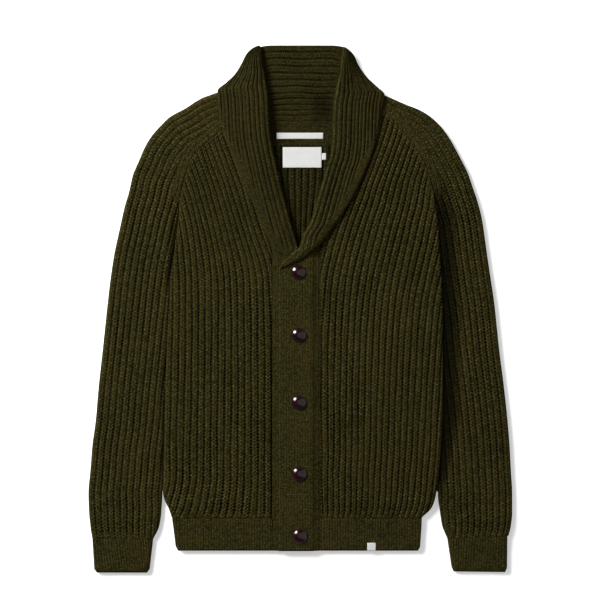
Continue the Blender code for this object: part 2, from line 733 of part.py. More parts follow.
# Collar: two turned-down lapels and the back part
def lapel(name, table, side, end):
    """Lapel folded along its roll, with ribs parallel to the roll."""
    ys = levels(table[0].y, table[-1].y, 17.0)
    path = [(read(table, "roll", y), y) for y in ys]
    inner = offset_path(path, side * -ROLL)
    roll = []
    for (x, y), (flat_x, flat_y) in zip(path, inner):
        roll.append(((flat_x, flat_y), ((x - flat_x) / ROLL, (y - flat_y) / ROLL), ROLL))
    edge = [(read(table, "edge", y), y) for y in reversed(ys)]
    outline = [p for p, _, _ in roll] + edge + list(end)
    leg = [(read(table, "under", y), y) for y in ys]
    guide_ys = levels(table[0].y - 30, table[-1].y + 20, 3.0)
    slope = (path[1][0] - path[0][0]) / (path[1][1] - path[0][1])
    guide = []
    for y in guide_ys:
        x = read(table, "roll", y)
        if y < table[0].y:
            x = path[0][0] + slope * (y - table[0].y)
        guide.append((x, y))
    lines = []
    crests = []
    marks = []
    before = 0.0
    for groove in LAPEL_GROOVES:
        if before > 0:
            marks.append(((before + groove) / 2, True))
        marks.append((groove, False))
        before = groove
    for away, crest in marks:
        line = clipped(offset_path(guide, side * -away), outline, EDGE_KEEP - 0.6, 18.0)
        if line:
            lines.append(line)
            crests.append(crest)

    def heights(point, line):
        x, y = point
        roll_x = read(table, "roll", y)
        edge_x = read(table, "edge", y)
        lower = FRONT_BASE + read(table, "rise", y)
        share = min(1.0, max(0.0, (x - roll_x) / (edge_x - roll_x)))
        at_roll = lower + WALL + read(table, "slot", y)
        under = at_roll + (read(table, "rest", y) - at_roll) * share ** 2
        crest = 0.8 if line == -1 and share < 0.4 else 0.0
        if line >= 0 and crests[line]:
            crest = 1.0
        top = under + WALL + read(table, "rib", y) * crest
        return top, under, lower + WALL, lower

    return fold(name, roll, outline, lines, leg, heights, OLIVE)


lapel("lapel_right", LAPEL_RIGHT, -1, RIGHT_END)
lapel("lapel_left", LAPEL_LEFT, 1, LEFT_END)


def collar_back():
    """Back of the collar: the stand slopes down to the neck seam, and its fall lies below."""
    reach = 4.4
    xs = levels(-66.0, 70.0, 17.0)

    def top_y(x):
        return COLLAR_TOP_Y - reach - 2.6 * max(0.0, (abs(x - 2) - 50) / 18) ** 2

    roll = [((x, top_y(x)), (0.0, 1.0), reach) for x in xs]
    right = [(read(STAND, "right_side", y), y) for y in levels(253.4, 392, 28.0)]
    left = [(read(STAND, "left_side", y), y) for y in levels(253.4, 392, 28.0)]
    seam = [(x, 253.4) for x in levels(68, -66.5, 34.0)[1:-1]]
    outline = [p for p, _, _ in roll] + list(reversed(left)) + seam + right
    leg = [(x * 0.97 + (2 if x < 0 else -2), 331.0) for x in xs]
    lines = []
    crests = []
    before = COLLAR_TOP_Y - reach
    for groove in STAND_GROOVES:
        for y, crest in (((before + groove) / 2, True), (groove, False)):
            if crest and before > 400:
                continue
            bend = [(x, y - 5 * max(0.0, (abs(x - 2) - 48) / 18) ** 2) for x in levels(-68, 72, 3.0)]
            line = clipped(bend, outline, EDGE_KEEP - 0.6, 34.0)
            if line:
                lines.append(line)
                crests.append(crest)
        before = groove
    for y in (287.0, 275.0, 263.0):
        lines.append(clipped([(x, y) for x in levels(-68, 72, 3.0)], outline, EDGE_KEEP - 0.6, 34.0))
        crests.append(False)

    def heights(point, line):
        y = point[1]
        share = min(1.0, max(0.0, (y - 253.4) / 71.0))
        lift = share * share * (3 - 2 * share)
        under = (SLEEVE_LOWER + LAY) * lift
        rib = 0.0
        if line >= 0 and crests[line] and abs(point[0] - 2) < 52:
            rib = COLLAR_RIB * min(1.0, max(0.3, (y - 290) / 60))
        return under + WALL + rib, under, SLEEVE_LOWER, 0.0

    fold("collar_back", roll, outline, lines, leg, heights, OLIVE)


collar_back()


# Buttons: five turned domes with a raised rim
def button(name, x, y):
    """One button: a revolved profile, a dome inside a rounded rim."""
    profile = [(0.0, 5.5), (3.0, 5.2), (6.0, 4.4), (8.5, 3.4), (9.7, 3.7), (10.6, 3.3)]
    profile += [(BUTTON_RADIUS, 2.3), (10.0, 1.1), (8.0, 0.7), (4.0, 0.0), (0.0, 0.0)]
    around = 20
    points = [(x, y, BUTTON_BASE + profile[0][1])]
    for radius, height in profile[1:-1]:
        for step in range(around):
            turn = 2 * math.pi * step / around
            points.append((x + radius * math.cos(turn), y + radius * math.sin(turn), BUTTON_BASE + height))
    points.append((x, y, BUTTON_BASE))
    faces = []
    rings = len(profile) - 2
    for step in range(around):
        after = (step + 1) % around
        faces.append([0, 1 + step, 1 + after])
        for ring in range(rings - 1):
            a = 1 + ring * around
            b = a + around
            faces.append([a + step, b + step, b + after, a + after])
        a = 1 + (rings - 1) * around
        faces.append([a + step, len(points) - 1, a + after])
    piece = make_object(name, points, faces, BUTTON_RED, 0.25)
    piece.data.shade_smooth()


for number, (button_x, button_y) in enumerate(zip(BUTTON_XS, BUTTON_YS), 1):
    button("button_" + str(number), button_x, button_y)


# Labels: thin blank pieces of tape
def tape(name, low, high, base, thick, colour=LABEL_LIGHT):
    """Thin rectangle whose underside follows what it lies on."""
    (x0, y0), (x1, y1) = low, high
    ys = levels(y0, y1, 12.0)
    outline = [(x1, y) for y in ys] + [(x0, y) for y in reversed(ys)]
    slab(name, outline, [], lambda p, line: base(p) + thick, base, colour)


def stand_top(point):
    """Height just over the plain lower part of the collar's stand."""
    share = min(1.0, max(0.0, (point[1] - 253.4) / 71.0))
    return (SLEEVE_LOWER + LAY) * share * share * (3 - 2 * share) + WALL + 0.5


tape("neck_label", (-27.1, 218.9), (33.0, 250.6), lambda p: BACK_TOP + 0.3, 0.6)
tape("size_tab", (33.4, 231.0), (40.1, 241.3), lambda p: BACK_TOP + 0.3, 0.5)
tape("strip_label", (-36.7, 263.5), (35.3, 273.0), stand_top, 0.5)
tape("hem_tag", (103.5, -373.5), (116.7, -361.5), lambda p: 8.6, 0.5)
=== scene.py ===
# %% [markdown]
# # A chunky shawl collar cardigan, laid flat
#
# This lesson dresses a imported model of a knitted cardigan. The model gives each piece its place
# and size as a plain solid. Here every solid gets a closed shell of the same form: knits with
# their ribs and stitches in the mesh, turned buttons of glossy resin, and woven tapes.
# The frame comes first, because everything below is placed by it.

# %% Load the frame
import math
from collections import namedtuple

import bmesh
import bpy
import numpy as np
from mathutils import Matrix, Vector


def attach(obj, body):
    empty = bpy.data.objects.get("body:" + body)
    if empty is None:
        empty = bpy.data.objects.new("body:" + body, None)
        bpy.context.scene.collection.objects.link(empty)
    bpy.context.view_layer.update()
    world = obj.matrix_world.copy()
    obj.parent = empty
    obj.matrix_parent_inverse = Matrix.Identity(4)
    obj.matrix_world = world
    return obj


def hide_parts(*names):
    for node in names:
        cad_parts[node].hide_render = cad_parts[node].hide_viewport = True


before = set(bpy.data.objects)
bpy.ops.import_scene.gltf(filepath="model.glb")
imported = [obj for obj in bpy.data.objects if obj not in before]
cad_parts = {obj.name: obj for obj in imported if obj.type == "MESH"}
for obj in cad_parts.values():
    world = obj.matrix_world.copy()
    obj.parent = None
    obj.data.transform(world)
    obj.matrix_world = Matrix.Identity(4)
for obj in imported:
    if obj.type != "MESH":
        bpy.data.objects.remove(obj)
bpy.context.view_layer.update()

print("nodes in the frame:", len(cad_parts))

# %% [markdown]
# ## Working in millimetres
#
# A knitter thinks in millimetres and stitches, and Blender's unit is the metre. All sizes below
# are millimetres, and only the last step of each mesh turns them into metres.
# +X is the wearer's left, +Y runs from the hem to the collar and +Z is up.

# %% Sizes shared by all pieces
MM = 0.001
WALL = 3.3  # knitted wall under its ribs
BACK_TOP = 4.5  # back panel over its rib crests
FRONT_BASE = 4.9  # underside of the front panels
FRONT_CREST = 10.1  # front panels over their rib crests
SLEEVE_LOWER = 3.7  # top of the lower wall of a sleeve or cuff
SLEEVE_UPPER = 4.3  # underside of its upper wall
SLEEVE_CREST = 9.6
BAND_TOP = 8.3  # top of the hem and of the under band
HEM_Y = -323.0  # seam between the panels and the hem rib
HEM_END_Y = -374.0
ARMPIT_Y = 161.0
NECK_SEAM_Y = 252.6
STITCH = 5.1  # height of one chunky stitch
ROW_STEP = STITCH / 4  # height of one row of mesh faces
FINE_RIB = 4.15  # width of a rib in the hem, cuffs and bands
FINE_STITCH = 3.6

# %% [markdown]
# ## Short tables for long seams
#
# The edges of a knitted panel are smooth curves. A row of a table says where they are at one
# height, and a curve that never swings past the table's values joins the rows. Nearly the same
# rows made the solids of the frame, so the shells fit over them.

# %% Tables of the front panels
def table_rows(kind, lines):
    """Rows of a table, whose values go by the names of their columns."""
    return [kind(*line) for line in lines]


Front = namedtuple("Front", "y inner outer first_rib last_rib")
FRONT_RIGHT = table_rows(Front, [
    (-323, -44, -199, -44, -234),
    (-308, -44, -204, -44, -225),
    (-296, -44, -210, -44, -221),
    (-281, -44, -213, -44, -216),
    (-257, -44, -213, -44, -212),
    (-226, -44, -212, -44, -212),
    (-141, -44, -210, -44, -210),
    (-48, -44, -206, -45, -208),
    (14, -44, -203, -46.5, -207),
    (45, -44, -201, -48, -207),
    (76, -44, -197, -54, -208),
    (107, -47, -193, -65, -209),
    (138, -55, -189, -75, -213),
    (161, -62, -188, -82, -218),
    (194, -70, -181, -92, -227),
    (216, -75, -175, -100, -235),
    (239, -81, -164, -108, -244),
    (265, -85, -136, -118, -255),
    (285, -87, -112, -127, -263),
    (303, -88, -91, -135, -270),
])
FRONT_LEFT = table_rows(Front, [
    (-323, 31, 188, 35, 184),
    (-308, 31, 203, 35, 190),
    (-296, 31, 208, 34, 193),
    (-281, 31, 211, 34, 195),
    (-257, 31, 214, 33, 197),
    (-226, 31, 217, 34, 200),
    (-141, 31, 221, 33, 205),
    (-48, 31, 221, 34, 211),
    (14, 31, 220, 37, 218),
    (45, 31, 219, 40, 225),
    (76, 31, 217, 46, 232),
    (107, 33, 215, 54, 239),
    (138, 45, 213, 64, 244),
    (161, 57, 209, 73, 248),
    (194, 71, 203, 85, 250),
    (216, 77, 196, 94, 255),
    (239, 83, 186, 103, 261),
    (265, 88, 167, 112, 271),
    (290, 90, 145, 119, 280),
    (308, 91, 129, 126, 287),
    (325, 93.5, 100, 137, 294),
])
RIGHT_FAN = 16  # ribs between first_rib and last_rib
LEFT_FAN = 18
print("rows that shape the fronts:", len(FRONT_RIGHT), len(FRONT_LEFT))

# %% Tables of the sleeves
Sleeve = namedtuple("Sleeve", "y outer inner")
SLEEVE_RIGHT = table_rows(Sleeve, [
    (-356.5, -322, -228.6),
    (-336, -325, -219),
    (-315, -327, -216),
    (-287, -328, -214.5),
    (-250, -325, -214.3),
    (-212, -322, -213.3),
    (-175, -317, -212.5),
    (-119, -312, -210.6),
    (-64, -306, -208),
    (11, -298, -204.4),
    (45, -294, -202.2),
    (85, -288, -197.4),
    (122, -280, -193),
    (158, -272, -189.4),
    (182, -265, -184.4),
    (208, -259, -178),
    (229, -250, -170),
    (250, -241, -154),
    (268, -230, -133),
    (284, -216, -114),
    (298, -201, -98),
    (310, -179, -95),
    (326, -153.3, -106),
    (335, -129.5, -112),
])
SLEEVE_LEFT = table_rows(Sleeve, [
    (-355.5, 321, 228.4),
    (-336, 326, 220.5),
    (-315, 328, 217),
    (-287, 328, 213.8),
    (-250, 326, 216.2),
    (-212, 324, 219.6),
    (-175, 321, 221.6),
    (-119, 315, 222.3),
    (-64, 308, 222.3),
    (11, 300, 221.2),
    (45, 295, 220.2),
    (85, 289, 217.8),
    (107, 286, 216.3),
    (140, 281, 214),
    (164, 275, 209.5),
    (188, 267, 205),
    (211, 259, 198),
    (231, 249, 190),
    (250, 239, 179),
    (267, 229, 165),
    (284, 216, 151),
    (298, 201, 139),
    (308, 185, 130),
    (316, 165, 118),
    (325, 144, 101.5),
    (333, 126, 109),
])

# %% Tables of the collar
# roll is a lapel's folded inner edge, edge its free outer edge and under the end of the lower
# leg. rise lifts the roll, slot is the space between the legs, rest the height of the free
# edge's underside, rib the height of its ribs and wall the thickness of each leg. A row that
# stops after rise has the usual section.
USUAL = (2.3, 10.6, 1.6, 3.3)
Lapel = namedtuple("Lapel", "y roll edge under rise slot rest rib wall", defaults=USUAL)
LAPEL_RIGHT = table_rows(Lapel, [
    (67.5, -30, -33, -31.5, 3.8, 0.1, 9.8, 0.2, 1.4),
    (75, -21, -36.5, -27, 3.8, 0.1, 10.2, 0.2, 1.6),
    (82.5, -13, -40.5, -21, 3.8, 0.1, 10.4, 0.2, 1.6),
    (89.2, -4.5, -43.2, -13, 3.8, 0.1, 10.5, 0.3, 1.6),
    (91, -2, -43.8, -43.4, 0, 0.5, 8.8, 0.3, 3.3),
    (99, -4, -45.5, -44.5, 0, 0.5, 10.4, 0.3, 3.3),
    (111, -7, -50, -47.5, 0, 1.2, 10.6, 1.2, 3.3),
    (130, -13, -60, -52.4, 0, 2.2, 10.6, 1.6, 3.3),
    (167, -23, -75, -63, 0),
    (194, -30, -86.5, -69.4, 0),
    (216, -35, -95.5, -74.4, 0),
    (239, -40, -105.5, -80.4, 0.3),
    (265, -45, -115, -84.4, 2.0),
    (285, -47, -121.5, -86.4, 3.8),
    (308, -48, -126, -87.2, 4.9),
    (329, -49, -128, -82, 4.9),
    (337, -50, -128, -78, 4.9, 2.3, 9.2, 1.6, 3.3),
    (352, -53, -114, -72, 4.9, 2.0, 1.5, 1.6, 3.3),
    (365, -55, -101, -68, 4.9, 2.0, 0.6, 1.6, 3.3),
    (381, -59, -91, -68, 4.9, 1.4, 1.6, 1.4, 3.3),
    (394, -60.5, -84, -68, 4.9, 0.8, 5.0, 1.2, 3.3),
    (402, -61.5, -75.5, -68, 4.9, 0.5, 10.0, 1.0, 3.2),
    (405, -62, -69.5, -66, 4.9, 0.4, 12.0, 0.6, 2.8),
    (406.6, -62.3, -64.6, -63.6, 5.2, 0.3, 12.5, 0.3, 2.4),
])
LAPEL_LEFT = table_rows(Lapel, [
    (62.5, -31.6, -29.6, -30.8, 7.3, 0.1, 12.9, 0.1, 0.8),
    (64.5, -32.2, -25.4, -29.6, 7.4, 0.2, 12.8, 0.2, 1.2),
    (67, -32, -19, -26.6, 7.6, 0.2, 12.6, 0.3, 1.3),
    (79, -20, 5, -12, 7.8, 0.3, 12.5, 0.5, 1.9),
    (87, -12, 15.5, -2, 7.9, 0.6, 12.4, 0.8, 2.3),
    (95, -2, 26, 10, 7.9, 1.2, 12.2, 1.2, 2.7),
    (113, 3, 42, 22, 6.0, 2.0, 10.8, 1.6, 3.3),
    (130, 13, 54, 35, 3.6),
    (149, 20, 67, 48, 1.8),
    (177, 28, 83.5, 63, 0.4),
    (198, 34, 94, 71, 0),
    (216, 39, 102, 76, 0),
    (234, 45, 109, 81, 0.3),
    (260, 49, 117, 86, 1.6),
    (293, 50, 123.5, 89.2, 4.4),
    (316, 51, 127.5, 90, 4.9),
    (331, 53.5, 130, 84, 4.9, 2.3, 9.6, 1.6, 3.3),
    (346, 56, 117, 78, 4.9, 2.3, 3.4, 1.6, 3.3),
    (360, 60, 103, 74, 4.9, 2.0, 0.6, 1.6, 3.3),
    (378, 62.5, 90.5, 72, 4.9, 1.4, 1.6, 1.4, 3.3),
    (393, 65, 83, 72, 4.9, 0.8, 5.0, 1.2, 3.3),
    (401, 66, 74.5, 71, 4.9, 0.5, 10.5, 1.0, 3.2),
    (404, 66.4, 69.8, 68.5, 5.0, 0.3, 12.5, 0.4, 2.6),
])
LAPEL_GROOVES = (7.1, 15.0, 21.4, 29.5, 40.3, 51.2, 62.0, 72.9)  # from the roll
Stand = namedtuple("Stand", "y right_side left_side")
STAND = table_rows(Stand, [
    (253.4, -66.5, 68),
    (280, -63.5, 68),
    (305, -60, 66),
    (330, -58, 64),
    (365, -61, 66),
    (390, -65, 70),
    (404, -66, 70),
])
STAND_GROOVES = (397.6, 387.2, 375.9, 364.6, 354.3, 344.1, 333.6, 325.2, 315.7, 307.4, 299.8)


# %% [markdown]
# ## Curves through a table
#
# NumPy reads a whole column of heights at once. The curve keeps the table's own values and lies
# flat wherever the values turn back, so a seam gets no bulge that nobody asked for.

# %% Read a table as a smooth curve
def smooth(stations, values, at):
    """Smooth curve through values at stations, held flat outside them."""
    stations = np.asarray(stations, float)
    values = np.asarray(values, float)
    at = np.clip(np.asarray(at, float), stations[0], stations[-1])
    steps = np.diff(stations)
    slopes = np.diff(values) / steps
    product = slopes[:-1] * slopes[1:]
    same_way = product > 0
    total = np.where(same_way, slopes[:-1] + slopes[1:], 1.0)
    middle = np.where(same_way, 2 * product / total, 0.0)
    tangents = np.concatenate([slopes[:1], middle, slopes[-1:]])
    i = np.clip(np.searchsorted(stations, at) - 1, 0, len(steps) - 1)
    t = (at - stations[i]) / steps[i]
    start = (1 + 2 * t) * (1 - t) ** 2 * values[i] + t * (1 - t) ** 2 * steps[i] * tangents[i]
    end = t * t * (3 - 2 * t) * values[i + 1] + t * t * (t - 1) * steps[i] * tangents[i + 1]
    return start + end


def read(table, name, y):
    """Named column of a table at the heights y."""
    return smooth([row.y for row in table], [getattr(row, name) for row in table], y)


def levels(low, high, step):
    """Even levels from low to high, no further apart than step."""
    return np.linspace(low, high, max(1, math.ceil(abs(high - low) / step)) + 1)


def covered(width, y):
    """Area under a width that is known at the heights y."""
    return float(((width[1:] + width[:-1]) / 2 * np.diff(y)).sum())


def ease(value):
    """Soft step from 0 to 1."""
    value = np.clip(value, 0.0, 1.0)
    return value * value * (3 - 2 * value)


print("right side at the armpit:", float(read(FRONT_RIGHT, "outer", ARMPIT_Y)))


# %% [markdown]
# ## Knitting in a mesh
#
# A chunky rib is a column of V stitches. Each point of a panel knows two numbers: which rib it
# is on, where a whole number is a groove and a half is a crest, and which row of stitches.
# The heights come from those numbers, and the wool's shader reads them again from the mesh, so
# that its fine yarns lie exactly on the modelled stitches. A grid whose columns follow the ribs
# keeps every groove crisp, also where the ribs fan out.

# %% Height of ribs and stitches
LEG = 2.1  # rows that the legs of a V stitch would climb over a whole rib
RIB_FLATNESS = 2.4  # higher powers make a crest broader
PURL = 0.8  # how far the purl bars in a groove rise and dip, against the stitch height


def rib_shape(rib):
    """0 in a groove, 1 on a crest: broad and round over a narrow groove."""
    away = np.abs(rib - np.round(rib))
    return 1 - (1 - 2 * away) ** RIB_FLATNESS


def stitch_shape(rib, row):
    """From -0.5 to 0.5 over the V stitches."""
    side = np.abs(rib - np.floor(rib) - 0.5)
    return 0.5 * np.cos(2 * math.pi * (row - LEG * side))


def knit(rib, row, depth, stitch):
    """Height against the crest line: 0 on a crest and -depth in a groove, with stitches."""
    crest = rib_shape(rib)
    purl = -PURL * stitch * np.cos(2 * math.pi * row) * (1 - crest)
    return depth * (crest - 1) + stitch * stitch_shape(rib, row) * crest + purl


def uneven(rib, along):
    """Share of its depth that each rib keeps, from 0.76 to 1, slowly changing along it."""
    number = np.floor(rib)
    return 0.88 + 0.12 * np.sin(2.3 * number * number + along / 27.0)


def hollow(distance, width, depth):
    """Dip that a seam pulls into the knit."""
    return -depth * np.exp(-(np.maximum(distance, 0.0) / width) ** 2)


def averaged(values, window):
    """Running mean of a line of numbers; window is odd."""
    padded = np.pad(values, window // 2, mode="edge")
    return np.convolve(padded, np.ones(window) / window, mode="valid")


def rounded(away, reach):
    """Share of its height that a folded side keeps at a distance from its edge."""
    inward = np.clip(away / reach, 0.0, 1.0)
    return np.sqrt(1 - (1 - inward) ** 2)


# %% [markdown]
# ## Creases
#
# Laid flat, the knit swells above the hem, drags from the armpits and dents a little where it
# was smoothed. Each crease is one row of a table: its middle, its half length and width, its
# height (negative for a trough), its direction in degrees and how far it bows.

# %% Creases and swells
Crease = namedtuple("Crease", "x y length width height turn bow")


def creases(table, x, y):
    """Sum of all soft troughs and ridges at the points x, y."""
    total = np.zeros(np.broadcast(x, y).shape)
    for crease in table:
        turn = math.radians(crease.turn)
        along = (x - crease.x) * math.cos(turn) + (y - crease.y) * math.sin(turn)
        across = (y - crease.y) * math.cos(turn) - (x - crease.x) * math.sin(turn)
        across = across - crease.bow * (along / crease.length) ** 2
        shape = np.exp(-(across / crease.width) ** 2 - (along / crease.length) ** 4)
        total = total + crease.height * shape
    return total


def ripple(x, y, height):
    """Slow unevenness that all laid knits have, from a few long waves."""
    waves = np.sin(x / 23.0 + y / 61.0) + np.sin(y / 37.0 - x / 47.0 + 1.3)
    waves = waves + np.sin(x / 71.0 + y / 29.0 + 4.0) * np.sin(x / 31.0 - 2.0)
    return height * waves / 3


# %% [markdown]
# ## Collecting points and faces
#
# Every piece is a closed shell: a knitted upper side, a plain underside and walls between them.
# The helper below gathers grids of points, joins them with faces and writes the mesh. A grid
# may be trimmed row by row: columns past an edge then share the edge's point, and the faces
# that have become lines are left out.

# %% The Cloth helper
class Cloth:
    """Points and faces of one piece, in millimetres."""

    def __init__(self):
        self.points = []
        self.marks = []
        self.faces = []
        self.ends = []
        self.count = 0

    def add(self, x, y, z, rib=0.5, row=0.0, depth=1.0, shade=0.0):
        """Adds a grid of points and returns their numbers in the same layout."""
        grids = np.broadcast_arrays(x, y, z, rib, row, depth, shade)
        numbers = self.count + np.arange(grids[0].size).reshape(grids[0].shape)
        self.points.append(np.stack(grids[:3], -1).reshape(-1, 3))
        self.marks.append(np.stack(grids[3:], -1).reshape(-1, 4))
        self.count += grids[0].size
        return numbers

    def skin(self, numbers):
        """Faces between the neighbouring rows and columns of a grid."""
        corners = (numbers[:-1, :-1], numbers[:-1, 1:], numbers[1:, 1:], numbers[1:, :-1])
        self.faces.append(np.stack(corners, -1).reshape(-1, 4))

    def strip(self, *lines):
        """Faces between lines of points that run side by side."""
        self.skin(np.stack(lines, 1))

    def cap(self, *runs):
        """One polygon over an end, round the given runs of points."""
        loop = []
        for number in np.concatenate([np.asarray(run).ravel() for run in runs]).tolist():
            if number not in loop:
                loop.append(number)
        self.ends.append(loop)

    def polygons(self):
        """All faces as lists, without repeated corners."""
        quads = np.concatenate(self.faces).tolist()
        polygons = [list(dict.fromkeys(quad)) for quad in quads]
        return [polygon for polygon in polygons if len(polygon) > 2]

    def make(self, name):
        """Writes the mesh in metres and returns its object."""
        polygons = self.polygons()
        flat = [number for polygon in polygons + self.ends for number in polygon]
        used, renumbered = np.unique(flat, return_inverse=True)
        points = np.concatenate(self.points)[used] * MM
        marks = np.concatenate(self.marks)[used]
        loops = iter(renumbered.tolist())
        faces = [[next(loops) for _ in polygon] for polygon in polygons + self.ends]
        mesh = bpy.data.meshes.new(name)
        mesh.from_pydata(points.tolist(), [], faces)
        for column, label in enumerate(("rib", "row", "depth", "shade")):
            layer = mesh.attributes.new(label, "FLOAT", "POINT")
            layer.data.foreach_set("value", marks[:, column].astype(np.float32))
        shape = bmesh.new()
        shape.from_mesh(mesh)
        large = [face for face in shape.faces if len(face.verts) > 4]
        bmesh.ops.triangulate(shape, faces=large, ngon_method="EAR_CLIP")
        bmesh.ops.recalc_face_normals(shape, faces=shape.faces)
        open_edges = sum(1 for edge in shape.edges if len(edge.link_faces) != 2)
        triangles = sum(len(face.verts) - 2 for face in shape.faces)
        shape.to_mesh(mesh)
        shape.free()
        mesh.shade_smooth()
        piece = bpy.data.objects.new(name, mesh)
        bpy.context.collection.objects.link(piece)
        print(name, "triangles:", triangles, "open edges:", open_edges)
        return piece


# %% Trim a grid row by row
SLIVER = 0.3  # a column closer than this to an edge becomes the edge


def trimmed(across, start, end):
    """Trims each row of a rising grid to start and end, and says which column each place uses."""
    count = across.shape[1]
    first = np.maximum((across <= start + SLIVER).sum(1) - 1, 0)
    last = np.minimum(count - (across >= end - SLIVER).sum(1), count - 1)
    last = np.maximum(last, first + 1)
    use = np.clip(np.arange(count)[None, :], first[:, None], last[:, None])
    rows = np.arange(len(across))
    across = across.copy()
    across[rows, first] = start[:, 0]
    across[rows, last] = end[:, 0]
    return across, use


# %% [markdown]
# ## Shader maths as Python expressions
#
# Node trees are easier to read as formulas. A Wire wraps a socket, and the usual operators on it
# add Math nodes. Colours go through Mix nodes. Every other node comes from one method, which
# sets the node's own settings first and its sockets after them.

# %% Wires
class Wire:
    """A socket's value on its way through a node tree."""

    def __init__(self, nodes, socket):
        self.nodes = nodes
        self.socket = socket

    def math(self, operation, *values):
        return self.nodes.node("ShaderNodeMath", {"operation": operation}, dict(enumerate(values)))

    def __add__(self, other):
        return self.math("ADD", self, other)

    def __sub__(self, other):
        return self.math("SUBTRACT", self, other)

    def __rsub__(self, other):
        return self.math("SUBTRACT", other, self)

    def __mul__(self, other):
        return self.math("MULTIPLY", self, other)

    __radd__ = __add__
    __rmul__ = __mul__

    def fraction(self):
        return self.math("FRACT", self)

    def size(self):
        return self.math("ABSOLUTE", self)

    def wave(self):
        """From 0 to 1 and back once for each whole number."""
        return self.math("COSINE", self * (2 * math.pi)) * 0.5 + 0.5

    def step(self, low, high):
        """Soft step from 0 at low to 1 at high."""
        sockets = {"Value": self, "From Min": low, "From Max": high}
        return self.nodes.node("ShaderNodeMapRange", {"interpolation_type": "SMOOTHSTEP"}, sockets)


# %% Node trees and finishes
class Nodes:
    """A node tree of a material or a world."""

    def __init__(self, tree):
        self.tree = tree

    def put(self, socket, value):
        """Sets a socket, or links a wire to it."""
        if isinstance(value, Wire):
            self.tree.links.new(value.socket, socket)
        else:
            socket.default_value = value

    def node(self, kind, settings, sockets, output=0, stops=()):
        """Adds a node: its settings and stops come first, then its sockets' values or links."""
        node = self.tree.nodes.new(kind)
        for label, value in settings.items():
            setattr(node, label, value)
        for number, (position, colour) in enumerate(stops):
            node.color_ramp.elements[number].position = position
            node.color_ramp.elements[number].color = colour
        for label, value in sockets.items():
            self.put(node.inputs[label], value)
        return Wire(self, node.outputs[output])


class Finish(Nodes):
    """One material; its constants go to the shader's own sockets."""

    def __init__(self, name, **constants):
        self.material = bpy.data.materials.new(name)
        self.material.use_nodes = True
        super().__init__(self.material.node_tree)
        self.shader = self.tree.nodes["Principled BSDF"]
        for label, value in constants.items():
            self.shader.inputs[label.replace("_", " ")].default_value = value

    def mark(self, name):
        """A number that the mesh carries at each point."""
        return self.node("ShaderNodeAttribute", {"attribute_name": name}, {}, "Fac")

    def place(self):
        """Position on the piece, in metres."""
        return self.node("ShaderNodeTexCoord", {}, {}, "Object")

    def noise(self, scale, detail=2.0, stretch=(1.0, 1.0, 1.0)):
        """Cloudy numbers round 0.5; scale is in patches to the metre."""
        scaled = {0: self.place(), 1: stretch}
        vector = self.node("ShaderNodeVectorMath", {"operation": "MULTIPLY"}, scaled)
        return self.clouds(vector, scale, detail, 0.55)

    def knit_noise(self, rib, row):
        """Cloudy numbers round 0.5 that follow the ribs and rows of a knit."""
        return self.clouds(self.node("ShaderNodeCombineXYZ", {}, {0: rib, 1: row}), 1.0, 1.0, 0.6)

    def clouds(self, vector, scale, detail, roughness):
        sockets = {"Vector": vector, "Scale": scale, "Detail": detail, "Roughness": roughness}
        return self.node("ShaderNodeTexNoise", {"normalize": True}, sockets, "Fac")

    def blend(self, share, first, second, way="MIX"):
        """Mixes two colours by a share."""
        settings = {"data_type": "RGBA", "blend_type": way}
        return self.node("ShaderNodeMix", settings, {0: share, 6: first, 7: second}, 2)

    def shade(self, colour, light):
        """Multiplies a colour by a number."""
        grey = self.node("ShaderNodeCombineXYZ", {}, {0: light, 1: light, 2: light})
        return self.blend(1.0, colour, grey, "MULTIPLY")

    def bump(self, height, depth):
        """Fine relief of a depth in metres."""
        sockets = {"Height": height, "Distance": depth, "Strength": 1.0}
        normal = self.node("ShaderNodeBump", {}, sockets, "Normal")
        self.put(self.shader.inputs["Normal"], normal)

    def paint(self, colour):
        self.put(self.shader.inputs["Base Color"], colour)


# %% [markdown]
# ## Marled wool
#
# The yarn is a dark olive marl: several tones twisted together, with brown, green and straw
# flecks. Seen close, each stitch has its own tone, and slow clouds run over the panel where the
# dye lots of the yarn change. The grooves get painted shade, as little light gets into them. The
# mesh already has the ribs, so the shader adds what is finer: the yarns' legs and their fuzz,
# with painted light on the legs and painted shade between them.

# %% Wool finish
OLIVE = (0.0400, 0.0340, 0.0064, 1.0)
STRAW = (0.0980, 0.0910, 0.0500, 1.0)
RUST = (0.0750, 0.0420, 0.0095, 1.0)
MOSS = (0.0220, 0.0360, 0.0064, 1.0)
SHADOW = (0.0145, 0.0116, 0.0015, 1.0)


def marl(finish, rib, row):
    """Colour of the mixed yarn, from numbers that count its patches."""
    cloud = finish.noise(11.0)
    tone = finish.noise(150.0, stretch=(1.0, 1.5, 1.0))
    fleck = finish.knit_noise(rib, row)
    speck = finish.noise(430.0, 1.0, (1.0, 1.2, 1.6))
    colour = finish.blend(tone.step(0.34, 0.66), SHADOW, OLIVE)
    colour = finish.blend(cloud.step(0.35, 0.75) * 0.25, colour, RUST)
    colour = finish.blend(fleck.step(0.53, 0.68) * 0.75, colour, STRAW)
    colour = finish.blend((1 - fleck).step(0.53, 0.66) * 0.55, colour, MOSS)
    colour = finish.blend(speck.step(0.55, 0.68) * 0.5, colour, RUST)
    colour = finish.blend((1 - speck).step(0.55, 0.68) * 0.5, colour, MOSS)
    return colour


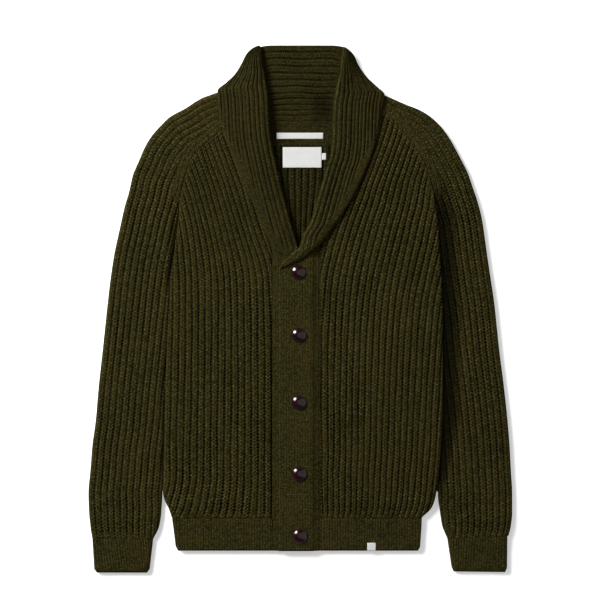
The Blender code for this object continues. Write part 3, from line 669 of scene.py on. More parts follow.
def wool(name, leg, shadow, contrast, middle, plain, relief, across, up, mottle):
    """Ribbed wool. leg slants the stitches, shadow and middle paint shade into the grooves and the
    line between the legs, contrast sets painted light on the legs against painted shade between them
    and spreads the grain where there is no rib, mottle sets the yarns apart, plain is the light where
    there is no rib, relief the bump in metres, and across and up count the yarns of a rib and a row."""
    finish = Finish(name, Roughness=0.95, Specular_IOR_Level=0.02)
    rib = finish.mark("rib")
    row = finish.mark("row")
    depth = finish.mark("depth")
    side = (rib.fraction() - 0.5).size()
    grain = finish.knit_noise(rib * across, row * up).step(0.36, 0.64)
    stroke = (row - side * leg).wave() * depth + grain * (1 - depth)
    groove = side.step(0.23, 0.44) * depth
    loose = 0.2 + 0.6 * middle
    dots = 1 - loose + row.wave() * loose
    # dent_shade dents the bump in the middle of each stitch and paints shade there
    dent_shade = (1 - side.step(0.04, 0.19)) * (row + 0.5).wave() * depth
    # light holds painted light and shade: bright legs, painted shade in grooves and stitch middles
    light = (1.16 - contrast + stroke * contrast) * (1 - groove * dots * shadow)
    light = light * (1 - dent_shade * middle)
    light = light * (plain + depth * (1 - plain)) * (1 - mottle / 2 + grain * mottle)
    # the shade mark paints shade, and paints light where it is negative
    light = light * (1 - finish.mark("shade"))
    colour = marl(finish, rib * (across * 0.7), row * (up * 0.7))
    finish.paint(finish.shade(colour, light))
    fuzz = finish.noise(1500.0)
    finish.bump(stroke * (1 - groove) + fuzz * 0.5 - dent_shade * 0.8, relief)
    return finish.material


CHUNKY = wool("chunky_wool", leg=LEG, shadow=0.99, contrast=0.50, middle=0.76, plain=0.84,
              relief=0.0010, across=5.0, up=2.6, mottle=0.46)
FINE = wool("fine_rib_wool", leg=1.3, shadow=0.82, contrast=0.46, middle=0.0, plain=0.66,
            relief=0.0008, across=2.6, up=2.4, mottle=0.20)
print("wool finishes:", CHUNKY.name, FINE.name)


# %% [markdown]
# ## Declaring a piece
#
# Each shell stands for one solid of the frame, rides on the only body and gets its finish in a
# material slot. The flat size of each cloth's cut is printed too, worked out from the same
# edges, all round on a tube.

# %% Hand a piece to the frame
ROOT = "root"
pieces = {}


def hand_over(piece, node, material):
    """Gives a piece its finish and puts it in the place of its solid."""
    piece.data.materials.append(material)
    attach(piece, ROOT)
    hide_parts(node)
    pieces[node] = piece
    return piece


def chunky(cloth, node):
    """Makes and hands over a piece in the chunky wool."""
    return hand_over(cloth.make(node + "_knit"), node, CHUNKY)


def fine(cloth, node):
    """Makes and hands over a piece in the fine rib."""
    return hand_over(cloth.make(node + "_rib"), node, FINE)


def declare(piece, width, length, area):
    """States the cut of a laid sheet from millimetres and square millimetres."""
    flat = (width * MM, length * MM)
    area = min(area * MM * MM, flat[0] * flat[1])
    print(piece.name, "cut", [round(v, 3) for v in flat], "m, area", round(area, 4), "m2")


# %% [markdown]
# ## The front panels
#
# A front is one chunky ribbed panel. Its ribs run up from the hem, fan out towards the raglan
# seam and end there at an angle. The panel swells over the hem, where the tighter rib draws it
# in, and its outer side rounds down to the seam with the back. The upper side is a grid with
# eight columns to a rib. The underside needs few faces, because it lies on the back.

# %% Sizes and creases of the fronts
COLUMNS = 8  # mesh columns to a rib
SIDE_ROUND = 12.0  # how far in the rounding of a panel's side reaches
FRONT_DEPTH = 2.9
FRONT_STITCH = 1.2
FRONT_LOW = FRONT_BASE + 1.3  # height at which its rounded side ends
UNDER_SHARES = (0.0, 0.15, 0.35, 0.6, 0.85, 0.96, 1.0)
FRONT_CREASES = {
    "front_right": table_rows(Crease, [
        (-150, -301, 62, 12, 1.6, 4, 5),
        (-78, -300, 30, 11, 1.2, 0, 2),
        (-186, 128, 34, 6, -1.0, 128, 6),
        (-158, 88, 46, 9, 0.8, 118, -8),
        (-120, -60, 60, 16, 0.7, 97, 9),
        (-166, -190, 48, 12, -0.8, 80, 7),
        (-196, -270, 26, 9, 1.0, 60, 4),
    ]),
    "front_left": table_rows(Crease, [
        (142, -299, 52, 12, 1.7, -5, 6),
        (72, -301, 30, 10, 1.1, 0, 2),
        (201, 118, 40, 6, -1.1, 58, -6),
        (170, 74, 52, 9, 0.8, 66, 7),
        (128, -96, 70, 17, 0.7, 84, -9),
        (182, -210, 46, 11, -0.9, 101, -7),
        (200, -278, 24, 8, 1.0, 118, -4),
    ]),
}


# %% Build the fronts
def panel(cloth, top, under):
    """Joins a knitted grid and its underside with two side walls and two ends."""
    cloth.skin(top)
    cloth.skin(under)
    cloth.strip(top[:, 0], under[:, 0])
    cloth.strip(top[:, -1], under[:, -1])
    for end in (0, -1):
        cloth.cap(top[end], under[end, ::-1])


def front(name, table, ribs):
    """One front panel."""
    side = math.copysign(1.0, table[0].outer)
    y = levels(table[0].y, table[-1].y, ROW_STEP)[:, None]
    inner, outer, start, end = (read(table, label, y) * side for label in Front._fields[1:])
    pitch = (end - start) / ribs
    low = math.floor(((inner - start) / pitch).min() * COLUMNS)
    high = math.ceil(((outer - start) / pitch).max() * COLUMNS)
    rib = np.arange(low, high + 1)[None, :] / COLUMNS
    wobble = 0.35 * np.sin(y / 19.0 + 2.1 * rib) + 0.3 * np.sin(y / 53.0 - rib)
    across, use = trimmed(start + pitch * rib + wobble, inner, outer)
    rib = (across - wobble - start) / pitch
    row = np.broadcast_to(y / STITCH, rib.shape)
    x = across * side
    raglan = np.where(y > ARMPIT_Y - 10, outer - across, 99.0)
    depth = uneven(rib, y) * (0.3 + 0.7 * ease(raglan / 9.0)) * (0.4 + 0.6 * ease((y - HEM_Y) / 10.0))
    keep = rounded(np.hypot(outer - across, np.maximum(y - ARMPIT_Y, 0.0)), SIDE_ROUND)
    z = FRONT_LOW + (FRONT_CREST - FRONT_LOW) * keep
    z = z + knit(rib, row, FRONT_DEPTH, FRONT_STITCH) * (0.25 + 0.75 * keep) * depth
    z = z + (creases(FRONT_CREASES[name], x, y) + ripple(x, y, 0.5)) * keep
    z = z + hollow(y - HEM_Y, 4.0, 0.6) + hollow(across - inner, 2.5, 1.2)
    z = np.maximum(z + hollow(raglan, 3.0, 0.2), FRONT_BASE + 1.0)
    cloth = Cloth()
    top = np.take_along_axis(cloth.add(x, y, z, rib, row, depth), use, 1)
    width = outer - inner
    under_x = inner + width * UNDER_SHARES
    under_z = np.full(under_x.shape, FRONT_BASE)
    under_z[:, -1:] = np.where(y < ARMPIT_Y, 3.0, FRONT_BASE)
    panel(cloth, top, cloth.add(under_x * side, y, under_z))
    piece = chunky(cloth, name)
    area = covered(width[:, 0], y[:, 0])
    length = table[-1].y - table[0].y
    declare(piece, outer.max() - inner.min(), length, area)


front("front_right", FRONT_RIGHT, RIGHT_FAN)
front("front_left", FRONT_LEFT, LEFT_FAN)

# %% [markdown]
# ## Folded strips and tubes
#
# Sleeves and cuffs are tubes that lie flat, so each has an upper wall, a lower wall and a thin
# slot between them. Their folded sides are round and bulge a little. A tube is built from rows
# that run across it from one folded side to the other, and each row knows how far each of its
# points is from the first side. The underside gets the same rib and row numbers as the upper
# side, so it shows its knit too, although it stays flat where it rests.

# %% Build a flattened tube
SIDE_PROFILE = ((4.2, -0.3), (2.4, -0.5), (0.9, 0.3))  # height and inset of a folded side


def tube(cloth, start, end, away, use, z, marks, insets, slot_rows, open_end):
    """Tube from rows that run from start to end; marks(away) numbers its ribs and stitches."""
    span = end - start
    length = np.hypot(span[:, :1], span[:, 1:])
    way = span / length

    def line(distance, height):
        return cloth.add(start[:, :1] + way[:, :1] * distance, start[:, 1:] + way[:, 1:] * distance,
                         height, *marks(distance))

    top = np.take_along_axis(line(away, z), use, 1)
    low = line(1.8 + (length - 3.6) * np.linspace(0.0, 1.0, 9), 0.0)
    near = [line(0.0 * length + inset, height)[:, 0] for height, inset in SIDE_PROFILE]
    far = [line(length - inset, height)[:, 0] for height, inset in SIDE_PROFILE]
    slot = insets[0] + (length - insets[0] - insets[1]) * np.linspace(0.0, 1.0, 5)
    upper = line(slot, SLEEVE_UPPER)[:slot_rows]
    lower = line(slot, SLEEVE_LOWER)[:slot_rows]
    for grid in (top, low, upper, lower):
        cloth.skin(grid)
    cloth.strip(top[:, 0], *near, low[:, 0])
    cloth.strip(top[:, -1], *far, low[:, -1])
    cloth.strip(upper[:, 0], lower[:, 0])
    cloth.strip(upper[:, -1], lower[:, -1])
    for end_row in ((0, -1) if open_end else (0,)):
        cloth.cap(top[end_row], upper[end_row, ::-1])
        cloth.cap(low[end_row], lower[end_row, ::-1])
        for column, lines in ((0, near), (-1, far)):
            walls = [wall[end_row] for wall in lines]
            cloth.cap([top[end_row, column]], walls, [low[end_row, column]],
                      [lower[end_row, column], upper[end_row, column]])
    if not open_end:
        far_end = [wall[-1] for wall in far]
        near_end = [wall[-1] for wall in near[::-1]]
        cloth.cap(upper[-1], lower[-1, ::-1])
        cloth.cap(top[-1], far_end, low[-1, ::-1], near_end)


def wrap(cloth, *runs):
    """Closes runs of points that follow each other round a folded strip, and caps its ends."""
    ring = np.concatenate(runs + (runs[0][:, :1],), 1)
    cloth.skin(ring)
    for end in (0, -1):
        cloth.cap(ring[end, :-1])


# %% [markdown]
# ## The sleeves
#
# A raglan sleeve is knitted as one panel and closed into a tube. Laid down it curves out over
# the shoulder, and its ribs follow its outer edge and run into the raglan seam one by one. So its
# rows stand square to the outer edge: each starts there and ends where it meets the seam or the
# underarm. The turn of the edge packs the rows closer at the seam, as in the real knit.

# %% Sizes and creases of the sleeves
SLEEVE_DEPTH = 2.5
SLEEVE_STITCH = 1.1
SLEEVE_LOW = 5.6  # height at which the upper wall's rounded side ends
SEAM_BAND = 13.5  # two flat columns of stitches along the raglan seam
BESIDE_Y = -282.0  # from here up a sleeve lies close beside the body
SIDE_GAP = 0.4
RAGLAN_GAP = 0.25
EDGE_STEP = 2.0  # between the points of a sleeve's edges
TOP_POINTS = 11  # across the top of a sleeve
SLOT_TOP_Y = 285.0  # the space inside a sleeve ends here, on its outer side
SLOT_SEAM_Y = 262.0  # and here, at the raglan seam
TURN_WINDOW = 41  # rows over which the turn of the outer edge is evened out
CUFF_PITCH = 9.3  # width of a rib at the cuff
SLEEVE_PITCH = 9.9
SLEEVE_CREASES = {
    "sleeve_right": table_rows(Crease, [
        (-286, -330, 44, 9, 1.5, 2, 4),
        (-252, -308, 36, 7, -1.2, -14, 5),
        (-300, -294, 30, 8, 1.1, 12, -4),
        (-238, -248, 42, 8, -0.9, 70, 6),
        (-262, -120, 60, 12, 0.8, 86, -8),
        (-226, 52, 46, 8, -1.0, 112, 7),
        (-214, 118, 40, 8, 1.0, 124, -6),
        (-232, 170, 38, 9, -0.8, 140, 6),
        (-196, 236, 34, 9, 0.7, 150, -5),
    ]),
    "sleeve_left": table_rows(Crease, [
        (284, -328, 46, 9, 1.6, -3, 4),
        (250, -310, 34, 7, -1.1, 12, 5),
        (302, -290, 30, 8, 1.0, -14, -4),
        (240, -240, 44, 8, -1.0, 108, 6),
        (268, -106, 64, 12, 0.8, 95, -8),
        (240, 60, 44, 8, -0.9, 70, 7),
        (236, 126, 42, 8, 1.0, 58, -6),
        (228, 186, 36, 9, -0.8, 44, 6),
        (196, 246, 32, 9, 0.7, 34, -5),
    ]),
}
# painted shadow of the body on a sleeve beside it, where the sleeve also dips
TuckShade = namedtuple("TuckShade", "shade width low high")
TUCK_SHADES = {  # where a sleeve is tucked in beside the body
    "sleeve_right": TuckShade(0.45, 14.0, 40.0, 150.0),
    "sleeve_left": TuckShade(0.86, 31.0, -285.0, 175.0),
}


# %% Edges and rows of a sleeve
def reach(x, y, way, edge_x, edge_y):
    """Distance from each point along its direction to a line of points."""
    dx = np.cos(way)[:, None]
    dy = np.sin(way)[:, None]
    to_x = edge_x[None, :-1] - x[:, None]
    to_y = edge_y[None, :-1] - y[:, None]
    step_x = np.diff(edge_x)[None, :]
    step_y = np.diff(edge_y)[None, :]
    crossing = dx * step_y - dy * step_x
    crossing = np.where(np.abs(crossing) < 1e-9, 1e-9, crossing)
    distance = (to_x * step_y - to_y * step_x) / crossing
    share = (to_x * dy - to_y * dx) / crossing
    hit = (share >= -1e-6) & (share <= 1 + 1e-6) & (distance > 0.5)
    return np.where(hit, distance, np.inf).min(1)


def raglan_edge(table, front_table, side):
    """Inner edge of a sleeve: the underarm, then just outside the front panel."""
    y = levels(table[0].y, table[-1].y, EDGE_STEP)
    x = read(table, "inner", y) * side
    body = read(front_table, "outer", y) * side
    x = np.where((y > BESIDE_Y) & (y < ARMPIT_Y) & (x - body < 4.5), body + SIDE_GAP, x)
    x = np.where((y >= ARMPIT_Y) & (y <= front_table[-1].y), body + RAGLAN_GAP, x)
    return np.concatenate([x[:1], x]), np.concatenate([y[:1] - 6.0, y])


def outer_rows(table, side, lift):
    """Evenly spaced points along the outer edge, with the direction of the row at each."""
    y = levels(table[0].y + lift, table[-1].y, EDGE_STEP)
    x = read(table, "outer", y) * side
    last = table[-1].inner * side
    x = np.concatenate([x, np.linspace(x[-1], last, TOP_POINTS + 1)[1:]])
    y = np.concatenate([y, np.full(TOP_POINTS, y[-1])])
    run = np.concatenate([[0.0], np.cumsum(np.hypot(np.diff(x), np.diff(y)))])
    along = levels(0.0, run[-1], ROW_STEP)
    x = np.interp(along, run, x)
    y = np.interp(along, run, y)
    heading = averaged(np.unwrap(np.arctan2(np.gradient(y), np.gradient(x))), TURN_WINDOW)
    width = x[0] - table[0].inner * side
    across = math.pi + math.atan2(lift, width)
    share = ease(along / 60.0)
    return x, y, across * (1 - share) + (heading + math.pi / 2) * share, along


def seam_frame(end, row_x, row_y):
    """Run along the line of the rows' ends, and how squarely and how slantwise each row meets it."""
    step = np.gradient(end, axis=0)
    size = np.maximum(np.hypot(step[:, :1], step[:, 1:]), 1e-6)
    square = np.abs(row_x * step[:, 1:] - row_y * step[:, :1]) / size
    lean = (row_x * step[:, :1] + row_y * step[:, 1:]) / size
    return np.cumsum(size)[:, None], square, lean


# %% Build the sleeves
def sleeve(name, table, front_table, lift):
    """One sleeve, closed at the shoulder and open towards its cuff."""
    side = math.copysign(1.0, table[0].outer)
    x, y, way, along = outer_rows(table, side, lift)
    length = reach(x, y, way, *raglan_edge(table, front_table, side))
    good = np.isfinite(length) & (length > 3.0)
    count = len(good) if good.all() else int(np.argmin(good))
    x, y, way, along, length = (values[:count, None] for values in (x, y, way, along, length))
    start = np.concatenate([x * side, y], 1)
    end = np.concatenate([(x + np.cos(way) * length) * side, y + np.sin(way) * length], 1)
    pitch = CUFF_PITCH + (SLEEVE_PITCH - CUFF_PITCH) * ease(along / 45.0)
    ribs = np.arange(0, math.ceil(length.max() / CUFF_PITCH * COLUMNS) + 1)[None, :] / COLUMNS
    wobble = 0.3 * np.sin(along / 21.0 + 1.9 * ribs) * np.minimum(ribs, 1.0)
    away, use = trimmed(pitch * ribs + wobble, 0 * length, length)
    end_y = end[:, 1:]
    below = 45.0 * ease((ARMPIT_Y + 14.0 - end_y) / 34.0)
    seam_run, square, lean = seam_frame(end, np.cos(way) * side, np.sin(way))
    under_arm = length - away + 40.0 * ease((end_y - ARMPIT_Y + 16) / 18.0)
    flat_shoulder = 1 - 0.4 * ease((y - 190.0) / 90.0)
    tuck_shade = TUCK_SHADES[name]

    def marks(distance):
        to_seam = (length - distance) * square + below
        banded = to_seam < SEAM_BAND
        rib = np.where(banded, to_seam / SEAM_BAND * 2, distance / pitch)
        row = (along - distance * (way - math.pi)) / STITCH
        row = np.where(banded, (seam_run - (length - distance) * lean) / STITCH, row)
        fade = 0.9 + 0.1 * ease((to_seam - SEAM_BAND) / 14.0)
        depth = flat_shoulder * fade * (0.4 + 0.6 * ease(along / 10.0))
        depth = uneven(distance / pitch, along) * depth
        # painted shadow beside the body, strongest at the sleeve's inner edge
        wide = tuck_shade.width * (1 - 0.55 * ease((tuck_shade.low + 130.0 - end_y) / 130.0))
        beside = 1 - np.clip((length - distance) / wide, 0.0, 1.0) ** 2.5
        tall = ease((end_y - tuck_shade.low) / 60.0 + 0.5) * ease((tuck_shade.high - end_y) / 60.0 + 0.5)
        return rib, row, depth, tuck_shade.shade * beside * tall

    rib, row, depth, shade = marks(away)
    raglan = (length - away) * square + below
    rib = np.where(raglan < SEAM_BAND, rib, (away - wobble) / pitch)
    keep = rounded(np.minimum(away, under_arm), SIDE_ROUND)
    px = (x + np.cos(way) * away) * side
    py = y + np.sin(way) * away
    z = SLEEVE_LOW + (SLEEVE_CREST - SLEEVE_LOW) * keep
    near_seam = np.where(raglan < SEAM_BAND, 0.5, 1.0)
    z = z + knit(rib, row, SLEEVE_DEPTH, SLEEVE_STITCH) * keep * depth * near_seam
    z = z + (creases(SLEEVE_CREASES[name], px, py) + ripple(px, py, 0.5)) * keep
    # the sleeve dips where it has its painted shadow
    z = z + hollow(raglan, 2.5, 0.2) - 3.0 * shade
    z = np.maximum(z + hollow(along, 3.0, 0.5), 5.3)
    slot_rows = int(((y < SLOT_TOP_Y) & (length > 30) & (end_y < SLOT_SEAM_Y)).sum())
    cloth = Cloth()
    tube(cloth, start, end, away, use, z, marks, (7.0, 8.0), slot_rows, False)
    piece = chunky(cloth, name)
    bend = np.gradient(way[:, 0])[:, None] / ROW_STEP
    area = 2 * float((length * ROW_STEP * (1 - length / 2 * bend)).sum())
    declare(piece, 2 * float(length.max()), float(along[-1, 0]), area)


sleeve("sleeve_right", SLEEVE_RIGHT, FRONT_RIGHT, 3.0)
sleeve("sleeve_left", SLEEVE_LEFT, FRONT_LEFT, 4.5)

# %% [markdown]
# ## The cuffs
#
# The cuffs are tubes of a fine rib that draws the sleeve in. They taper a little and their open
# end is soft and rounded. The columns are close enough to model every fine rib.

# %% Build the cuffs
FINE_STEP = 0.66  # width of a mesh column in the fine ribs
FINE_ROWS = 2.4
FINE_DEPTH = 0.7
FINE_DENT = 0.2
CUFF_HEIGHT = 54.0
CUFF_ROWS = 26
CUFF_LOW = 4.9
CUFF_TOP = BAND_TOP + 0.2
CUFFS = {
    "cuff_right": ([(-322, -354), (-319, -403), (-315, -408.3)],
                   [(-228.6, -357), (-234, -403), (-238, -408.3)]),
    "cuff_left": ([(320.6, -351.5), (320, -401), (317, -407.5)],
                  [(228.4, -356), (235, -400), (238, -406.5)]),
}


def along_path(corners, count):
    """Even points along a line of corners."""
    corners = np.array(corners, float)
    run = np.concatenate([[0.0], np.cumsum(np.hypot(*np.diff(corners, axis=0).T))])
    at = np.linspace(0.0, run[-1], count)
    return np.stack([np.interp(at, run, corners[:, 0]), np.interp(at, run, corners[:, 1])], 1)


def fine_depth(rib):
    """Every third groove of the fine rib is deeper."""
    third = np.abs(rib / 3 - np.round(rib / 3)) * 3
    return 0.7 + 0.3 * np.exp(-(third / 0.4) ** 2)


def cuff(name):
    """One cuff, open at both ends."""
    outer, inner = CUFFS[name]
    start = along_path(outer, CUFF_ROWS)
    end = along_path(inner, CUFF_ROWS)
    length = np.hypot(*(end - start).T)[:, None]
    rows = np.linspace(0.0, CUFF_HEIGHT, CUFF_ROWS)[:, None]
    grid = np.arange(0, math.ceil(length.max() / FINE_STEP) + 1)[None, :] * FINE_STEP
    away, use = trimmed(grid + 0 * length, 0 * length, length)

    def marks(distance):
        rib = (distance - 0.06 * rows * np.sin(math.pi * distance / length)) / FINE_RIB
        return rib, rows / FINE_STITCH + 0 * rib, 0.9 * fine_depth(rib)

    rib, row, depth = marks(away)
    keep = rounded(np.minimum(np.minimum(away, length - away), CUFF_HEIGHT - rows), 7.0)
    z = CUFF_LOW + (CUFF_TOP - CUFF_LOW) * keep
    z = z + knit(rib, row, FINE_DEPTH, FINE_DENT) * depth * keep
    drag = np.sin((away - 0.7 * rows) / 5.5) + np.sin((away + rows) / 9.0 + 1.0)
    z = z + (ripple(start[:, :1] + away, rows * 3, 0.3) + 0.22 * drag) * keep
    z = z - hollow(rows, 14.0, 0.7)
    z = np.maximum(z, 4.7)
    cloth = Cloth()
    tube(cloth, start, end, away, use, z, marks, (8.0, 8.0), CUFF_ROWS, True)
    piece = fine(cloth, name)
    area = 2 * float(length.mean()) * CUFF_HEIGHT
    declare(piece, 2 * float(length.max()), CUFF_HEIGHT + 0.5, area)


cuff("cuff_right")
cuff("cuff_left")

# %% [markdown]
# ## The hem rib
#
# The hem is the same fine rib as the cuffs, one long band across the back and a shorter one on
# each front. The front ones lie on the back one, end at the front bands and have a rounded lower
# edge, where the knit was cast on.

# %% Build the hem
HEM_RIGHT_SIDE = [(-198.5, -323.5), (-196.5, -338), (-193, -367), (-189, -374)]
HEM_LEFT_SIDE = [(188, -323.5), (187.5, -338), (185.5, -368), (182, -374)]
HEM_RIGHT_SEAM = [(-44, 0), (-44, -400)]  # beside the right band
HEM_LEFT_SEAM = [(31, 0), (31, -400)]
HEM_TOP_Y = -323.5
HEM_CREST = BAND_TOP + 0.1


def at_heights(path, y):
    """x of a side at the heights y, from a list of corners that runs down."""
    corners = path[::-1]
    return np.interp(y, [corner[1] for corner in corners], [corner[0] for corner in corners])


def hem(name, low_side, high_side, base, top_z, soft_low, soft_high):
    """One band of the hem between two sides, soft at the sides where that is asked."""
    y = levels(HEM_END_Y, HEM_TOP_Y, FINE_ROWS)[:, None]
    low = at_heights(low_side, y)
    high = at_heights(high_side, y)
    first = math.floor(low.min() / FINE_STEP)
    grid = np.arange(first, math.ceil(high.max() / FINE_STEP) + 1)[None, :] * FINE_STEP
    x, use = trimmed(grid + 0 * y, low, high)
    rib = x / FINE_RIB
    row = y / FINE_STITCH + 0 * rib
    depth = 0.9 * fine_depth(rib)
    edge = (y - HEM_END_Y) * 1.6 + 0 * x
    if soft_low:
        edge = np.minimum(edge, x - low)
    if soft_high:
        edge = np.minimum(edge, high - x)
    keep = rounded(edge, 5.0)
    z = base + 2.0 + (top_z - base - 2.0) * keep
    z = z + (knit(rib, row, FINE_DEPTH, FINE_DENT) * depth + ripple(x, y * 2, 0.25)) * keep
    z = z - hollow(HEM_TOP_Y - y, 14.0, 0.9 if base else 0.0)
    cloth = Cloth()
    top = np.take_along_axis(cloth.add(x, y, z, rib, row, depth), use, 1)
    under_x = low + (high - low) * np.linspace(0.0, 1.0, 7)
    panel(cloth, top, cloth.add(under_x, y, base, under_x / FINE_RIB, row[:, :1], 0.6))
    piece = fine(cloth, name)
    height = HEM_TOP_Y - HEM_END_Y
    declare(piece, float((high - low).max()), height, float((high - low).mean()) * height)


hem("hem_right", HEM_RIGHT_SIDE, HEM_RIGHT_SEAM, FRONT_BASE, HEM_CREST, True, False)
hem("hem_left", HEM_LEFT_SEAM, HEM_LEFT_SIDE, FRONT_BASE, HEM_CREST, False, True)
hem("hem_back", HEM_RIGHT_SIDE, HEM_LEFT_SIDE, 0.0, BACK_TOP, True, True)

# %% [markdown]
# ## The front bands
#
# Two strips of fine rib close the front. The right one lies under the left one and shows only
# as a narrow edge. The left one carries the buttonholes: each is an upright slit with a bound
# edge, hidden for the most part by its button, and the button presses a shallow dip round it.

# %% Sizes and buttonholes of the front bands
BUTTON_YS = (56.9, -40.3, -144.2, -254.8, -350.9)
BUTTON_XS = (-3.1, -2.3, -2.3, -1.7, -0.8)
BAND_COLUMNS = (-34.0, -31.5, -16.0, 0.0, 15.5, 19.0, 23.0, 27.0, 30.5)
BAND_LOWS = (8.6, 8.6, 8.6, 8.6, 8.6, 8.0, 6.2, 5.2, 4.9)
BAND_HIGHS = (10.7, 12.0, 12.0, 12.0, 12.0, 11.4, 9.6, 8.6, 7.7)
BAND_ENDS = (63.5, 65.0, 73.0, 81.5, 91.0, 93.5, 96.5, 99.5, 101.0)
BAND_LENGTH = 465.0  # of the left band, about
UNDER_BAND_LENGTH = 462.0
UNDER_BAND = (-43.5, 15.0)  # sides of the right band
UNDER_BAND_TOP_Y = 88.4
COVERED_X = -32.0  # from here on the right band is hidden


def buttonholes(x, y):
    """Dips round the buttons, with the slit and its two bound edges."""
    total = np.zeros(np.broadcast(x, y).shape)
    for middle_x, middle_y in zip(BUTTON_XS, BUTTON_YS):
        dx = x - middle_x
        dy = y - middle_y
        total = total - 0.5 * np.exp(-(dx * dx + dy * dy) / 190.0)
        inside = 1 - ease((np.abs(dy) - 11.5) / 3.0)
        lips = 0.5 * np.exp(-((np.abs(dx) - 1.5) / 0.8) ** 2)
        total = total + inside * (lips - 0.9 * np.exp(-(dx / 0.6) ** 2))
    return total


# %% Build the front bands
def band_rows(ends, length):
    """Heights of a band's rows, from the hem to where each of its columns ends."""
    share = levels(0.0, 1.0, FINE_ROWS / length)[:, None]
    return HEM_END_Y + (ends - HEM_END_Y) * share


def band_knit(x, y, low_x, reach, drop, shown=1.0):
    """Marks of a band's fine rib, its rounding, and its height against a flat top."""
    rib = (x + 0.4) / FINE_RIB
    row = y / FINE_STITCH
    depth = 0.40 + 0.15 * fine_depth(rib)
    keep = rounded(np.minimum(x - low_x, (y - HEM_END_Y) * 1.5), reach)
    relief = knit(rib, row, 0.6, FINE_DENT) * depth * keep * shown - drop * (1 - keep)
    return (rib + 0 * y, row, depth), keep, relief


def band_left():
    """Top band, which steps down to its own front along its sewn side."""
    low_x, high_x = BAND_COLUMNS[0], BAND_COLUMNS[-1]
    x = np.arange(low_x, high_x + 0.01, FINE_STEP)[None, :]
    x = x + (high_x - x[0, -1]) * (x - low_x) / (x[0, -1] - low_x)
    ends = np.interp(x, BAND_COLUMNS, BAND_ENDS)
    y = band_rows(ends, BAND_LENGTH)
    marks, keep, relief = band_knit(x, y, low_x, 4.0, 1.1)
    z = smooth(BAND_COLUMNS, BAND_HIGHS, x) + 0.1 + relief
    z = z + (ripple(x * 2, y, 0.25) + buttonholes(x, y)) * keep
    cloth = Cloth()
    top = cloth.add(x, y, z, *marks)
    under_y = band_rows(np.array(BAND_ENDS)[None, :], BAND_LENGTH)
    panel(cloth, top, cloth.add(np.array(BAND_COLUMNS), under_y, np.array(BAND_LOWS)))
    piece = fine(cloth, "band_left")
    area = (high_x - low_x) * (float(np.mean(ends)) - HEM_END_Y)
    declare(piece, high_x - low_x, BAND_ENDS[-1] - HEM_END_Y, area)


def band_right():
    """Under band: fine where it shows beside the top band, plain below it."""
    low_x, high_x = UNDER_BAND
    edge_x = np.arange(low_x, COVERED_X, FINE_STEP)
    x = np.concatenate([edge_x, [-28.0, -20.0, -10.0, 0.0, 4.0, high_x]])[None, :]
    ends = np.interp(x, [low_x, 4.0, high_x], [UNDER_BAND_TOP_Y, UNDER_BAND_TOP_Y, 78.0])
    y = band_rows(ends, UNDER_BAND_LENGTH)
    marks, _, relief = band_knit(x, y, low_x - 1.0, 3.0, 1.0, x < COVERED_X)
    cloth = Cloth()
    top = cloth.add(x, y, BAND_TOP + relief, *marks)
    panel(cloth, top, cloth.add(x, y, FRONT_BASE))
    piece = fine(cloth, "band_right")
    length = UNDER_BAND_TOP_Y - HEM_END_Y
    area = (high_x - low_x) * length - 57.0  # less the slanted corner at its top
    declare(piece, high_x - low_x, length, area)


band_left()
band_right()

# %% [markdown]
# ## The back panel
#
# The back lies under everything and shows only inside the neck, but it is seen whole from
# below. Its upper side has fine columns where the neck opens and few elsewhere. Two horns run up
# beside the neck, under the lapels. One function gives the same grid twice, for the upper side
# and for the plain underside, and a wall joins the two round the edge.

# %% Columns of the back
NECK_RIGHT = ((252.6, -67), (268, -70), (290, -78), (303, -91))
NECK_LEFT = ((252.6, 69), (268, 71), (288, 80), (318, 91), (325, 93))
BACK_RIB = 10.8
BACK_MIDDLE = -2.6
BACK_FINE_Y = 84.0  # its ribs are modelled from here up
BACK_SIDES = (-67.0, 69.0)  # sides of the fine columns
BACK_INSETS = np.array([0.0, 1.5, 4.0, 8.0])  # columns of the rounded sides
BACK_COARSE = np.linspace(0.0, 1.0, 7)
BACK_LOW = 2.6
SEAM_COLUMNS = len(BACK_INSETS) + len(BACK_COARSE) - 1  # columns that go on into a horn
HORN_AREA = 3600.0  # of both horns


def back_fan(y):
    """How far the back's ribs are drawn together below the neck."""
    return smooth((BACK_FINE_Y, 96.0, 135.0, 215.0, 240.0), (0.60, 0.62, 0.74, 1.0, 1.0), y)


def back_columns(y):
    """x of all columns of the back at the heights y."""
    right = read(FRONT_RIGHT, "outer", y)
    left = read(FRONT_LEFT, "outer", y)
    dense = np.arange(BACK_SIDES[0], BACK_SIDES[1] + 0.01, BACK_RIB / COLUMNS)[None, :]
    dense[:, -1] = BACK_SIDES[1]
    dense = BACK_MIDDLE + (dense - BACK_MIDDLE) * back_fan(y)
    near = right + BACK_INSETS
    far = left - BACK_INSETS[::-1]
    between = near[:, -1:] + (dense[:, :1] - near[:, -1:]) * BACK_COARSE[1:-1]
    beyond = dense[:, -1:] + (far[:, :1] - dense[:, -1:]) * BACK_COARSE[1:-1]
    return np.concatenate([near, between, dense, beyond, far], 1)


def horn(neck, table, side):
    """Columns and heights of a horn beside the neck, without its first row."""
    y = levels(neck[0][0], neck[-1][0], 4.0)[1:, None]
    outer = read(table, "outer", y) * side
    inner = np.interp(y, [height for height, _ in neck], [x * side for _, x in neck])
    inner = np.minimum(inner, outer - 1.0)
    shares = np.concatenate([BACK_INSETS / 12.0 * 0.35, 0.233 + (1 - 0.233) * BACK_COARSE[1:]])
    x = outer + (inner - outer) * shares
    return (x if side > 0 else -x), y


